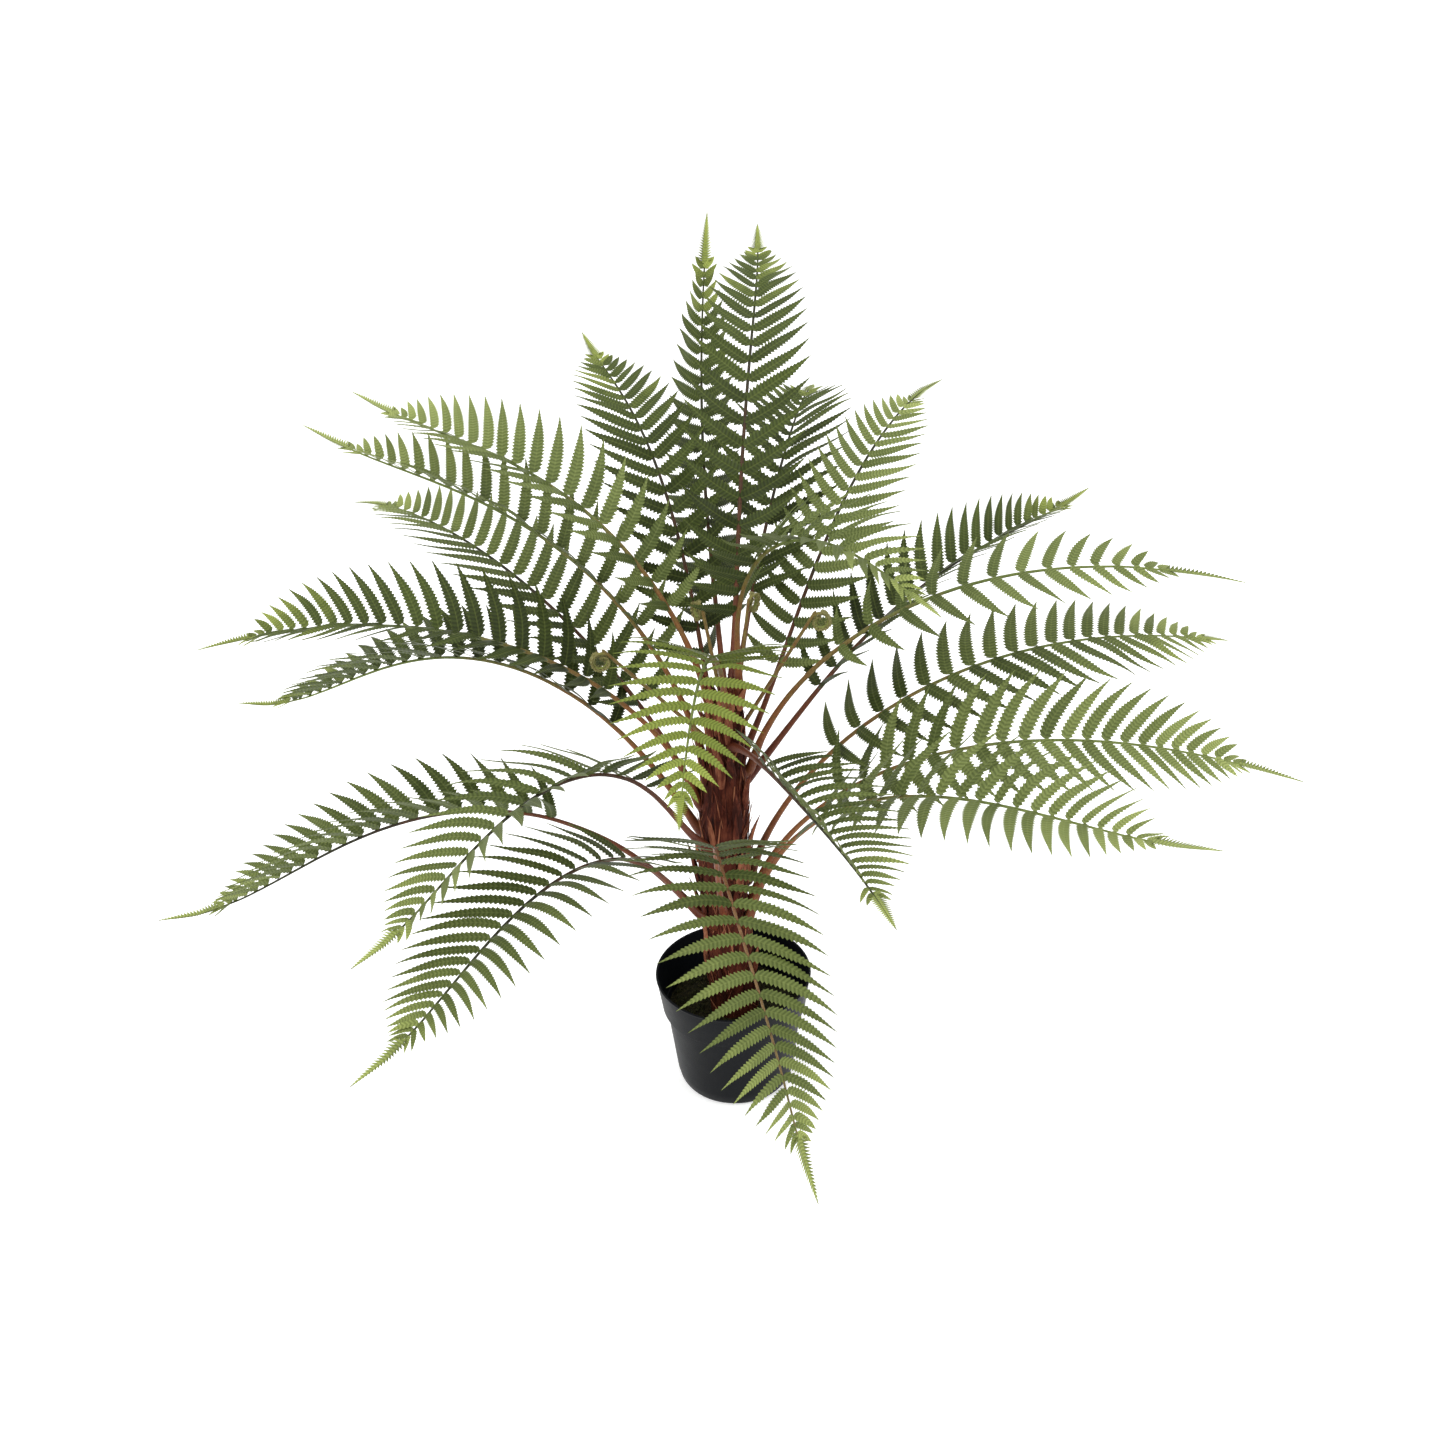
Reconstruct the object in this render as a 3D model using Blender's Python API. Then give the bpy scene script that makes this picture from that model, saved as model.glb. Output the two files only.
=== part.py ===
"""A potted tree fern at rest, in metres, +Z up, front towards -Y.

The pot stands on z = 0 with its axis on the origin. It holds a plug of soil and a cover of moss, the
trunk stands in a socket in the soil, and every frond grows from the side of the trunk as two pieces:
a stalk, and the comb of leaflets that rides on it. Young fronds are still coiled. The fronds are set by
round values, and each one then makes room for the others, as on a living plant: a stalk turns a little
aside, and a leaflet that would touch a neighbour is bent up or down until it hangs free.
"""

from __future__ import annotations

import math
from dataclasses import dataclass, replace
from enum import Enum
from itertools import product

import bpy
from mathutils import Vector
from mathutils.bvhtree import BVHTree

# Driving sizes
GAP = 0.0003  # left between neighbouring solids
POT_RIM_RADIUS = 0.085
POT_HEIGHT = 0.140
POT_WALL = 0.0018
POT_FLOOR = 0.003
POT_BAND = 0.041  # height of the raised band below the rim
SOIL_DROP = 0.040  # from the rim down to the top of the moss
MOSS_DEPTH = 0.010
TRUNK_RADIUS = 0.0255
TRUNK_HEIGHT = 0.400  # above the moss
TRUNK_SOCKET = 0.045  # how deep the trunk stands in the soil
FROND_SCALE = 1.0
STALK_RADIUS = 0.0036
LEAFLET_LENGTH = 0.090
LEAFLET_WIDTH = 0.66  # of the room between one leaflet and the next
BLADE_THICKNESS = 0.0012
COIL_RADIUS = 0.010
CLEARANCE = 0.0012  # kept free round every stalk and leaflet

# Derived levels
MOSS_TOP = POT_HEIGHT - SOIL_DROP
SOIL_TOP = MOSS_TOP - MOSS_DEPTH - GAP
TRUNK_FOOT = SOIL_TOP - TRUNK_SOCKET

SLOPE_AT = (0.0, 0.3, 0.6, 1.0)  # where along a frond its four slopes are given
STALK_SIDES = 6
BARE_RINGS = 4
STALK_END = 0.5  # share of the narrow tip that runs on past the end of the stalk
STALK_FLATTEN = 0.8
TIP_HALF = 0.0060  # half the width of the narrow tip where it begins
SEAT = GAP * 1.2  # between a stalk and the strip that lies on it
STRIP_EDGE = 0.0010  # how far the strip stands out beyond the stalk on each side
BULGE_AT = 0.42  # where a leaflet is widest, as a share of its length
BULGE_OUT = 0.52  # how far it stands out there, as a share of its root's width
POT_SIDES = 36
TRUNK_SIDES = 24

# Trunk girth and wander, by share of the height above the moss, and the rows that hold both
TRUNK_GIRTH = ((-0.3, 1.0), (0.0, 1.06), (0.25, 1.0), (0.62, 1.02), (0.80, 0.74), (0.93, 0.56), (1.0, 0.40))
TRUNK_WANDER = ((-0.3, 0.0), (0.0, 0.0), (0.45, -0.007), (0.70, -0.002), (1.0, 0.005))
TRUNK_ROWS = (0.0, 0.12, 0.25, 0.35, 0.45, 0.54, 0.62, 0.70, 0.75, 0.80, 0.87, 0.93, 1.0)
TRUNK_DENT = 0.025

# What is tried in turn to keep a frond clear: degrees that its stalk turns aside, how much higher up the
# trunk it leaves, degrees that a leaflet is bent, and the share of its length that it keeps
TURNS = (0, 2, -2, 4, -4, 6, -6, 8, -8, 10, -10)
RISES = (0.0, 0.015, -0.015, 0.03, -0.03, 0.045, -0.045)
BENDS = (0, 6, -6, 12, -12, 18, -18, 24, -24, 30, -30, 38, -38, 46, -46, 56, -56)
KEPT = (1.0, 0.85, 0.7, 0.5, 0.3)


class Arch(Enum):
    """How a frond bends: its slope in degrees above level, at SLOPE_AT."""

    TUMBLING = (45, 45, -25, -65)
    SPREADING = (45, 45, -5, 0)
    LOW = (55, 25, -20, 0)
    ARCHING = (75, 35, 5, -20)
    ROUND = (60, 35, 15, -20)
    FOUNTAIN = (75, 45, 15, 20)
    UPRIGHT = (55, 60, 25, 15)
    LATE = (45, 55, 40, -10)
    REACHING = (50, 30, 35, 55)
    STRAIGHT = (40, 35, 10, 5)
    SHORT = (30, 15, 10, -10)
    NODDING = (75, 40, -10, -50)
    HOODED = (90, 70, 15, -15)


@dataclass(frozen=True)
class Frond:
    """One frond: where it leaves the trunk, how it arches, and how its leaflets are set."""

    azimuth: float  # degrees, counter-clockwise from +X
    root: float  # share of the trunk's height
    arch: Arch
    length: float
    sweep: float = 0.0  # degrees that it turns sideways by its tip
    bare: float = 0.30  # share of the length below the first leaflets
    lifts: tuple[float, float] = (15, 15)  # degrees that its left and right leaflets are raised
    pairs: int = 20
    splay: float = 55  # degrees between a middle leaflet and the stalk
    tip: float = 0.13  # share of the length beyond the last pair
    size: float = 1.0  # of its leaflets beside those of the other fronds
    skew: float = 0.0  # degrees added to the splay on the left and taken off on the right


FRONDS = (
    # the low tier, in front and to the left
    Frond(265, 0.35, Arch.TUMBLING, 0.65, sweep=55, bare=0.20, lifts=(0, 10), pairs=24, splay=65, skew=-15),
    Frond(235, 0.30, Arch.SPREADING, 0.60, sweep=-10, bare=0.35, splay=60, skew=15),
    Frond(185, 0.30, Arch.LOW, 0.65, sweep=-5, lifts=(50, 20), splay=50),
    Frond(230, 0.55, Arch.SPREADING, 0.55, sweep=-5, bare=0.25, lifts=(35, 0), pairs=18, splay=60, skew=5),
    # the middle tier, to the left
    Frond(155, 0.55, Arch.LOW, 0.65, sweep=5, bare=0.20, lifts=(40, 20), splay=45),
    Frond(175, 0.65, Arch.ARCHING, 0.60, sweep=-5, bare=0.25, lifts=(15, 30)),
    Frond(140, 0.60, Arch.ROUND, 0.60, sweep=-5, bare=0.20),
    # the high tier, from the left round the back to the right
    Frond(150, 0.75, Arch.FOUNTAIN, 0.60, bare=0.20, lifts=(40, 40), pairs=18, size=0.8),
    Frond(145, 0.90, Arch.FOUNTAIN, 0.55, sweep=5, bare=0.20, lifts=(20, 30), pairs=18, size=0.9),
    Frond(110, 0.80, Arch.UPRIGHT, 0.55, bare=0.15, lifts=(5, 0), splay=50, size=0.9),
    Frond(95, 0.90, Arch.REACHING, 0.60, sweep=-15, bare=0.15, lifts=(-50, -50), splay=45, size=0.9),
    Frond(80, 0.95, Arch.UPRIGHT, 0.60, sweep=10, bare=0.15, lifts=(0, 0), splay=45, size=0.9),
    Frond(75, 0.85, Arch.ROUND, 0.55, sweep=5, bare=0.25, lifts=(20, 20), pairs=16),
    Frond(50, 0.75, Arch.LATE, 0.50, sweep=5, bare=0.20, lifts=(5, -10), tip=0.15, size=0.8),
    Frond(30, 0.70, Arch.STRAIGHT, 0.55, sweep=20, bare=0.20, lifts=(30, 30), splay=45, size=0.85),
    # the middle and low tiers, to the right
    Frond(5, 0.75, Arch.ARCHING, 0.60, sweep=5, bare=0.25, lifts=(20, -20), pairs=13, tip=0.16, size=0.7),
    Frond(15, 0.40, Arch.ARCHING, 0.65, sweep=5, bare=0.25, lifts=(5, -10), splay=60, tip=0.08),
    Frond(-10, 0.35, Arch.ARCHING, 0.65, sweep=5, bare=0.25, lifts=(30, -15)),
    Frond(-40, 0.30, Arch.FOUNTAIN, 0.65, lifts=(20, 0), pairs=18, splay=65, skew=5),
    # the young ones at the crown
    Frond(-75, 0.85, Arch.SHORT, 0.45, sweep=5, bare=0.25, lifts=(10, 60), pairs=18),
    Frond(260, 0.95, Arch.NODDING, 0.35, bare=0.20, lifts=(10, 10), pairs=14, splay=65, size=1.15),
    Frond(-45, 1.00, Arch.HOODED, 0.40, bare=0.20, lifts=(20, 20), pairs=16),
)


@dataclass(frozen=True)
class Crozier:
    """A young frond that is still coiled."""

    azimuth: float
    root: float
    slope: float
    stalk: float  # length below the coil


CROZIERS = (
    Crozier(195, 0.85, 50, 0.150),
    Crozier(120, 0.95, 70, 0.085),
    Crozier(60, 0.90, 75, 0.110),
    Crozier(0, 0.90, 60, 0.130),
)

COLOURS = {
    "pot": (0.018, 0.018, 0.020, 1.0),
    "soil": (0.030, 0.020, 0.014, 1.0),
    "moss": (0.045, 0.060, 0.018, 1.0),
    "trunk": (0.130, 0.030, 0.016, 1.0),
    "stalk": (0.210, 0.085, 0.035, 1.0),
    "blade": (0.070, 0.150, 0.035, 1.0),
    "crozier": (0.240, 0.330, 0.110, 1.0),
}


def material(name: str) -> bpy.types.Material:
    """The one material of this name."""
    found = bpy.data.materials.get(name)
    if found:
        return found
    made = bpy.data.materials.new(name)
    made.use_nodes = True
    shader = made.node_tree.nodes["Principled BSDF"]
    shader.inputs["Base Color"].default_value = COLOURS[name]
    shader.inputs["Roughness"].default_value = 0.6
    return made


def add(name: str, verts: list[Vector], faces: list[tuple[int, ...]], finish: str) -> bpy.types.Object:
    """Make one named solid, smooth where it is round."""
    mesh = bpy.data.meshes.new(name)
    mesh.from_pydata([tuple(v) for v in verts], [], faces)
    mesh.validate()
    mesh.materials.append(material(finish))
    for face in mesh.polygons:
        face.use_smooth = finish != "blade"
    obj = bpy.data.objects.new(name, mesh)
    bpy.context.scene.collection.objects.link(obj)
    return obj


def along(table: tuple[tuple[float, float], ...], x: float) -> float:
    """The value of a table of (x, value) pairs at x, straight between its rows."""
    for (x0, y0), (x1, y1) in zip(table, table[1:]):
        if x <= x1:
            return y0 + (y1 - y0) * max(0.0, x - x0) / (x1 - x0)
    return table[-1][1]


def spun(name: str, profile: list[tuple[float, float]], sides: int, finish: str) -> bpy.types.Object:
    """Turn a closed profile of (radius, height) about the axis. It runs counter-clockwise, and a radius
    of 0 becomes one point on the axis."""
    verts: list[Vector] = []
    rows: list[list[int]] = []
    for radius, height in profile:
        if radius == 0.0:
            rows.append([len(verts)] * sides)
            verts.append(Vector((0.0, 0.0, height)))
            continue
        rows.append(list(range(len(verts), len(verts) + sides)))
        for i in range(sides):
            turn = 2 * math.pi * i / sides
            verts.append(Vector((radius * math.cos(turn), radius * math.sin(turn), height)))
    faces = []
    closed = rows + ([rows[0]] if profile[0][0] > 0.0 else [])
    for low, high in zip(closed, closed[1:]):
        for i in range(sides):
            j = (i + 1) % sides
            corners = [low[i], low[j], high[j], high[i]]
            face = tuple(dict.fromkeys(corners))
            if len(face) > 2:
                faces.append(face)
    return add(name, verts, faces, finish)


def tube(rings: list[list[Vector]]) -> tuple[list[Vector], list[tuple[int, ...]]]:
    """Join rings of points into one closed skin with flat ends."""
    sides = len(rings[0])
    verts = [v for ring in rings for v in ring]
    faces: list[tuple[int, ...]] = [tuple(range(sides))[::-1]]
    for k in range(len(rings) - 1):
        a, b = k * sides, (k + 1) * sides
        for i in range(sides):
            j = (i + 1) % sides
            faces.append((a + i, a + j, b + j, b + i))
    last = (len(rings) - 1) * sides
    faces.append(tuple(range(last, last + sides)))
    return verts, faces


# The pot, what fills it, and the trunk

def pot_outer(height: float) -> float:
    """Outer radius of the pot's tapered wall below its band."""
    return POT_RIM_RADIUS * (0.745 + 0.135 * height / (POT_HEIGHT - POT_BAND))


def make_pot() -> None:
    """The pot: a raised band below the rim, a tapered wall and a rounded foot."""
    rim, wall = POT_RIM_RADIUS, POT_WALL
    band = POT_HEIGHT - POT_BAND
    foot = POT_RIM_RADIUS * 0.10
    step = 0.005
    outside = [
        (0.0, 0.0),
        (pot_outer(0.0) - foot * 1.35, 0.0),
        (pot_outer(0.0) - foot * 0.55, foot * 0.22),
        (pot_outer(0.0) - foot * 0.12, foot * 0.80),
        (pot_outer(foot * 2.0), foot * 2.0),
        (pot_outer(band - step), band - step),
        (rim - 0.0062, band),
        (rim - 0.0008, POT_HEIGHT - 0.0015),
        (rim - 0.0002, POT_HEIGHT - 0.0006),
        (rim - 0.0010, POT_HEIGHT),
    ]
    inside = [
        (rim - wall - 0.0004, POT_HEIGHT),
        (rim - wall - 0.0010, POT_HEIGHT - 0.0012),
        (rim - wall - 0.0066, band + 0.001),
        (pot_outer(band - step) - wall, band - step - 0.001),
        (pot_outer(foot * 2.0) - wall, foot * 2.0),
        (pot_outer(0.0) - foot * 0.6 - wall, foot * 0.55),
        (pot_outer(0.0) - foot * 1.40 - wall, POT_FLOOR),
        (0.0, POT_FLOOR),
    ]
    spun("pot", outside + inside, POT_SIDES, "pot")


def pot_inner(height: float) -> float:
    """Inner radius of the pot's tapered wall."""
    return pot_outer(height) - POT_WALL


def trunk_centre(share: float) -> float:
    """How far the trunk's axis stands to the right of the pot's."""
    return along(TRUNK_WANDER, share)


def trunk_radius(share: float) -> float:
    """Radius of the trunk over its lumps."""
    return TRUNK_RADIUS * along(TRUNK_GIRTH, share)


def trunk_height(share: float) -> float:
    """Height of a point of the trunk above the floor."""
    return MOSS_TOP + TRUNK_HEIGHT * share


def collar(name: str, low: float, high: float, edge: float, swell: float, finish: str) -> None:
    """A ring that fills the pot from low to high round the trunk, raised by swell between the two."""
    hole = trunk_radius(0.0) + GAP * 2
    bottom_edge = min(pot_inner(max(low, POT_RIM_RADIUS * 0.2)), edge) - GAP * 2
    top_edge = edge - GAP * 2
    middle = (hole + top_edge) / 2
    ridge = [(top_edge, high), (middle, high + swell), (hole, high + swell / 2)]
    profile = [(hole, low), (bottom_edge, low), *ridge]
    spun(name, profile, POT_SIDES, finish)


def make_fill() -> None:
    """The soil, with a blind socket for the trunk, and the moss that covers it."""
    hole = trunk_radius(0.0) + GAP * 2
    floor = POT_FLOOR + GAP
    foot = POT_RIM_RADIUS * 0.10
    profile = [
        (0.0, floor),
        (pot_outer(0.0) - foot * 1.45 - POT_WALL - GAP * 2, floor),
        (pot_outer(0.0) - foot * 0.7 - POT_WALL - GAP * 2, foot * 0.60 + GAP),
        (pot_inner(foot * 2.0) - GAP * 2, foot * 2.0),
        (pot_inner(SOIL_TOP) - GAP * 2, SOIL_TOP),
        (hole, SOIL_TOP),
        (hole, TRUNK_FOOT - GAP),
        (0.0, TRUNK_FOOT - GAP),
    ]
    spun("soil", profile, POT_SIDES, "soil")
    edge = pot_inner(POT_HEIGHT - POT_BAND - 0.006)
    collar("moss", SOIL_TOP + GAP, MOSS_TOP - 0.006, edge, 0.004, "moss")


def trunk_skin(share: float, turn: float) -> float:
    """Distance from the trunk's axis to its dented side, at an angle in radians."""
    return trunk_radius(share) * (1.0 - TRUNK_DENT * (1.0 + math.sin(3.0 * turn + 5.0 * share)))


def make_trunk() -> None:
    """The trunk: a slightly wandering column that narrows into the crown."""
    rings = []
    for share in ((TRUNK_FOOT - MOSS_TOP) / TRUNK_HEIGHT, *TRUNK_ROWS):
        ring = []
        for i in range(TRUNK_SIDES):
            turn = 2 * math.pi * i / TRUNK_SIDES
            radius = trunk_skin(share, turn)
            ring.append(Vector((
                trunk_centre(share) + radius * math.cos(turn),
                radius * math.sin(turn),
                trunk_height(share),
            )))
        rings.append(ring)
    add("trunk", *tube(rings), "trunk")


# Room for the fronds

class Room:
    """The skins of all that has been placed, by owner, for new pieces to keep clear of."""

    def __init__(self) -> None:
        self.skins: list[tuple[str, BVHTree]] = []

    def fill(self, owner: str, verts: list[Vector], faces: list[tuple[int, ...]]) -> None:
        self.skins.append((owner, BVHTree.FromPolygons(verts, faces)))

    def take_in(self, obj: bpy.types.Object) -> None:
        """Fill the room with a finished object."""
        mesh = obj.data
        self.fill(obj.name, [v.co.copy() for v in mesh.vertices], [tuple(p.vertices) for p in mesh.polygons])

    def is_free(self, owner: str, verts: list[Vector], faces: list[tuple[int, ...]]) -> bool:
        """Whether a skin crosses nothing but what belongs to its own frond."""
        skin = BVHTree.FromPolygons(verts, faces)
        return not any(skin.overlap(other) for name, other in self.skins if name != owner)


# Fronds

@dataclass(frozen=True)
class Station:
    """A place on a stalk with its own axes."""

    place: Vector
    ahead: Vector
    left: Vector
    up: Vector


def slope_at(slopes: tuple[float, float, float, float], share: float) -> float:
    """The smooth cubic through the four slopes."""
    total = 0.0
    for i, value in enumerate(slopes):
        weight = 1.0
        for j, other in enumerate(SLOPE_AT):
            if j != i:
                weight *= (share - other) / (SLOPE_AT[i] - other)
        total += weight * value
    return total


def stalk_radius(share: float) -> float:
    """Half the width of a stalk, from its foot to its thin end."""
    return STALK_RADIUS * along(((0.0, 1.0), (0.08, 0.86), (0.3, 0.62), (0.7, 0.40), (1.0, 0.20)), share)


def root_of(azimuth: float, root: float, slope: float, deep: float) -> Vector:
    """Where a stalk's axis starts, so that the inner edge of its foot just clears the trunk."""
    turn, lean = math.radians(azimuth), math.radians(slope)
    drop = deep * abs(math.cos(lean)) / TRUNK_HEIGHT
    skin = max(trunk_skin(root + drop * k, turn) for k in (-1.0, 0.0, 1.0))
    out = skin + deep * math.sin(lean) + GAP
    return Vector((trunk_centre(root) + out * math.cos(turn), out * math.sin(turn), trunk_height(root)))


def axes(slope: float, heading: float) -> tuple[Vector, Vector, Vector]:
    """The ahead, left and up directions for a slope and a heading in radians."""
    ahead = Vector((
        math.cos(slope) * math.cos(heading), math.cos(slope) * math.sin(heading), math.sin(slope),
    ))
    left = Vector((-math.sin(heading), math.cos(heading), 0.0))
    return ahead, left, ahead.cross(left)


class Spine:
    """The centre line of a frond. It is straight between the rings of the stalk, and those stand at the
    foot, along the bare part and at every second leaflet, so that the blade follows the stalk."""

    STEPS = 12  # between one ring and the next

    def __init__(self, frond: Frond) -> None:
        self.frond = frond
        self.length = frond.length * FROND_SCALE
        weights = [1.35 - 0.70 * k / (frond.pairs - 1) for k in range(frond.pairs)]
        unit = (1.0 - frond.tip - frond.bare) / sum(weights)
        ends = [frond.bare + unit * sum(weights[:k]) for k in range(frond.pairs + 1)]
        self.pitches = [unit * weight for weight in weights]
        self.middles = [(begin + end) / 2 for begin, end in zip(ends, ends[1:])]
        fronts = [self.reach(k)[1] for k in range(1, frond.pairs, 2)]
        self.shares = [frond.bare * k / BARE_RINGS for k in range(BARE_RINGS)]
        self.shares += [self.reach(0)[0], *fronts, 1.0 - STALK_END * frond.tip, 1.0]
        deep = STALK_RADIUS * STALK_FLATTEN
        place = root_of(frond.azimuth, frond.root, frond.arch.value[0], deep)
        self.places = [place.copy()]
        for begin, end in zip(self.shares, self.shares[1:]):
            for step in range(self.STEPS):
                ahead = self.axes_at(begin + (end - begin) * (step + 0.5) / self.STEPS)[0]
                place = place + ahead * (self.length * (end - begin) / self.STEPS)
            self.places.append(place.copy())

    def reach(self, k: int) -> tuple[float, float]:
        """Where the root of a leaflet begins and ends along the stalk."""
        half = self.pitches[k] * LEAFLET_WIDTH / 2
        return self.middles[k] - half, self.middles[k] + half

    def axes_at(self, share: float) -> tuple[Vector, Vector, Vector]:
        """The ahead, left and up directions at a share of the length."""
        slope = math.radians(slope_at(self.frond.arch.value, share))
        heading = math.radians(self.frond.azimuth + self.frond.sweep * share * share)
        return axes(slope, heading)

    def at(self, share: float) -> Station:
        """The station at a share of the length."""
        k = 0
        while share > self.shares[k + 1] and k < len(self.shares) - 2:
            k += 1
        part = (share - self.shares[k]) / (self.shares[k + 1] - self.shares[k])
        return Station(self.places[k].lerp(self.places[k + 1], part), *self.axes_at(share))


def half_strip(share: float) -> float:
    """Half the width of the strip that the leaflets of a frond grow from."""
    return stalk_radius(share) + STRIP_EDGE


def sleeve(spine: Spine) -> tuple[list[Vector], list[tuple[int, ...]]]:
    """A loose sleeve round a stalk and its strip, which other fronds keep out of."""
    rings = []
    for share in spine.shares:
        here = spine.at(share)
        wide = half_strip(share) + CLEARANCE
        if share > 1.0 - spine.frond.tip:
            wide = max(wide, TIP_HALF + CLEARANCE)
        low = stalk_radius(share) * STALK_FLATTEN + CLEARANCE
        high = low + SEAT + BLADE_THICKNESS
        corners = ((wide, -low), (wide, high), (-wide, high), (-wide, -low))
        rings.append([here.place + here.left * x + here.up * y for x, y in corners])
    return tube(rings)


def find_room(owner: str, frond: Frond, room: Room) -> Spine:
    """The frond's spine, turned aside and raised by the first of TURNS and RISES that keep it clear."""
    for turn, rise in product(TURNS, RISES):
        spine = Spine(replace(frond, azimuth=frond.azimuth + turn, root=min(1.0, frond.root + rise)))
        skin = sleeve(spine)
        if room.is_free(owner, *skin):
            room.fill(owner, *skin)
            return spine
    raise ValueError(f"{owner} has no free place")


def leaflet_length(u: float, scale: float) -> float:
    """Length of a leaflet, where u runs from the first pair to the last."""
    return LEAFLET_LENGTH * scale * along(
        ((0.0, 0.72), (0.12, 0.92), (0.35, 1.0), (0.6, 0.90), (0.8, 0.70), (1.0, 0.32)), u
    )


def leaflet_splay(splay: float, u: float) -> float:
    """The angle between a leaflet and its stalk, in radians."""
    return math.radians(splay + along(((0.0, 14.0), (0.35, 4.0), (0.7, -4.0), (1.0, -14.0)), u))


def make_stalk(name: str, spine: Spine) -> None:
    """A tapered stalk, a little wider than it is deep."""
    rings = []
    for share in spine.shares[:-1]:
        here = spine.at(share)
        wide = stalk_radius(share)
        deep = wide * STALK_FLATTEN
        ring = []
        for i in range(STALK_SIDES):
            turn = 2 * math.pi * i / STALK_SIDES
            ring.append(here.place + here.left * (wide * math.cos(turn)) + here.up * (deep * math.sin(turn)))
        rings.append(ring)
    verts, faces = tube(rings)
    add(name, verts, faces, "stalk")


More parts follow.
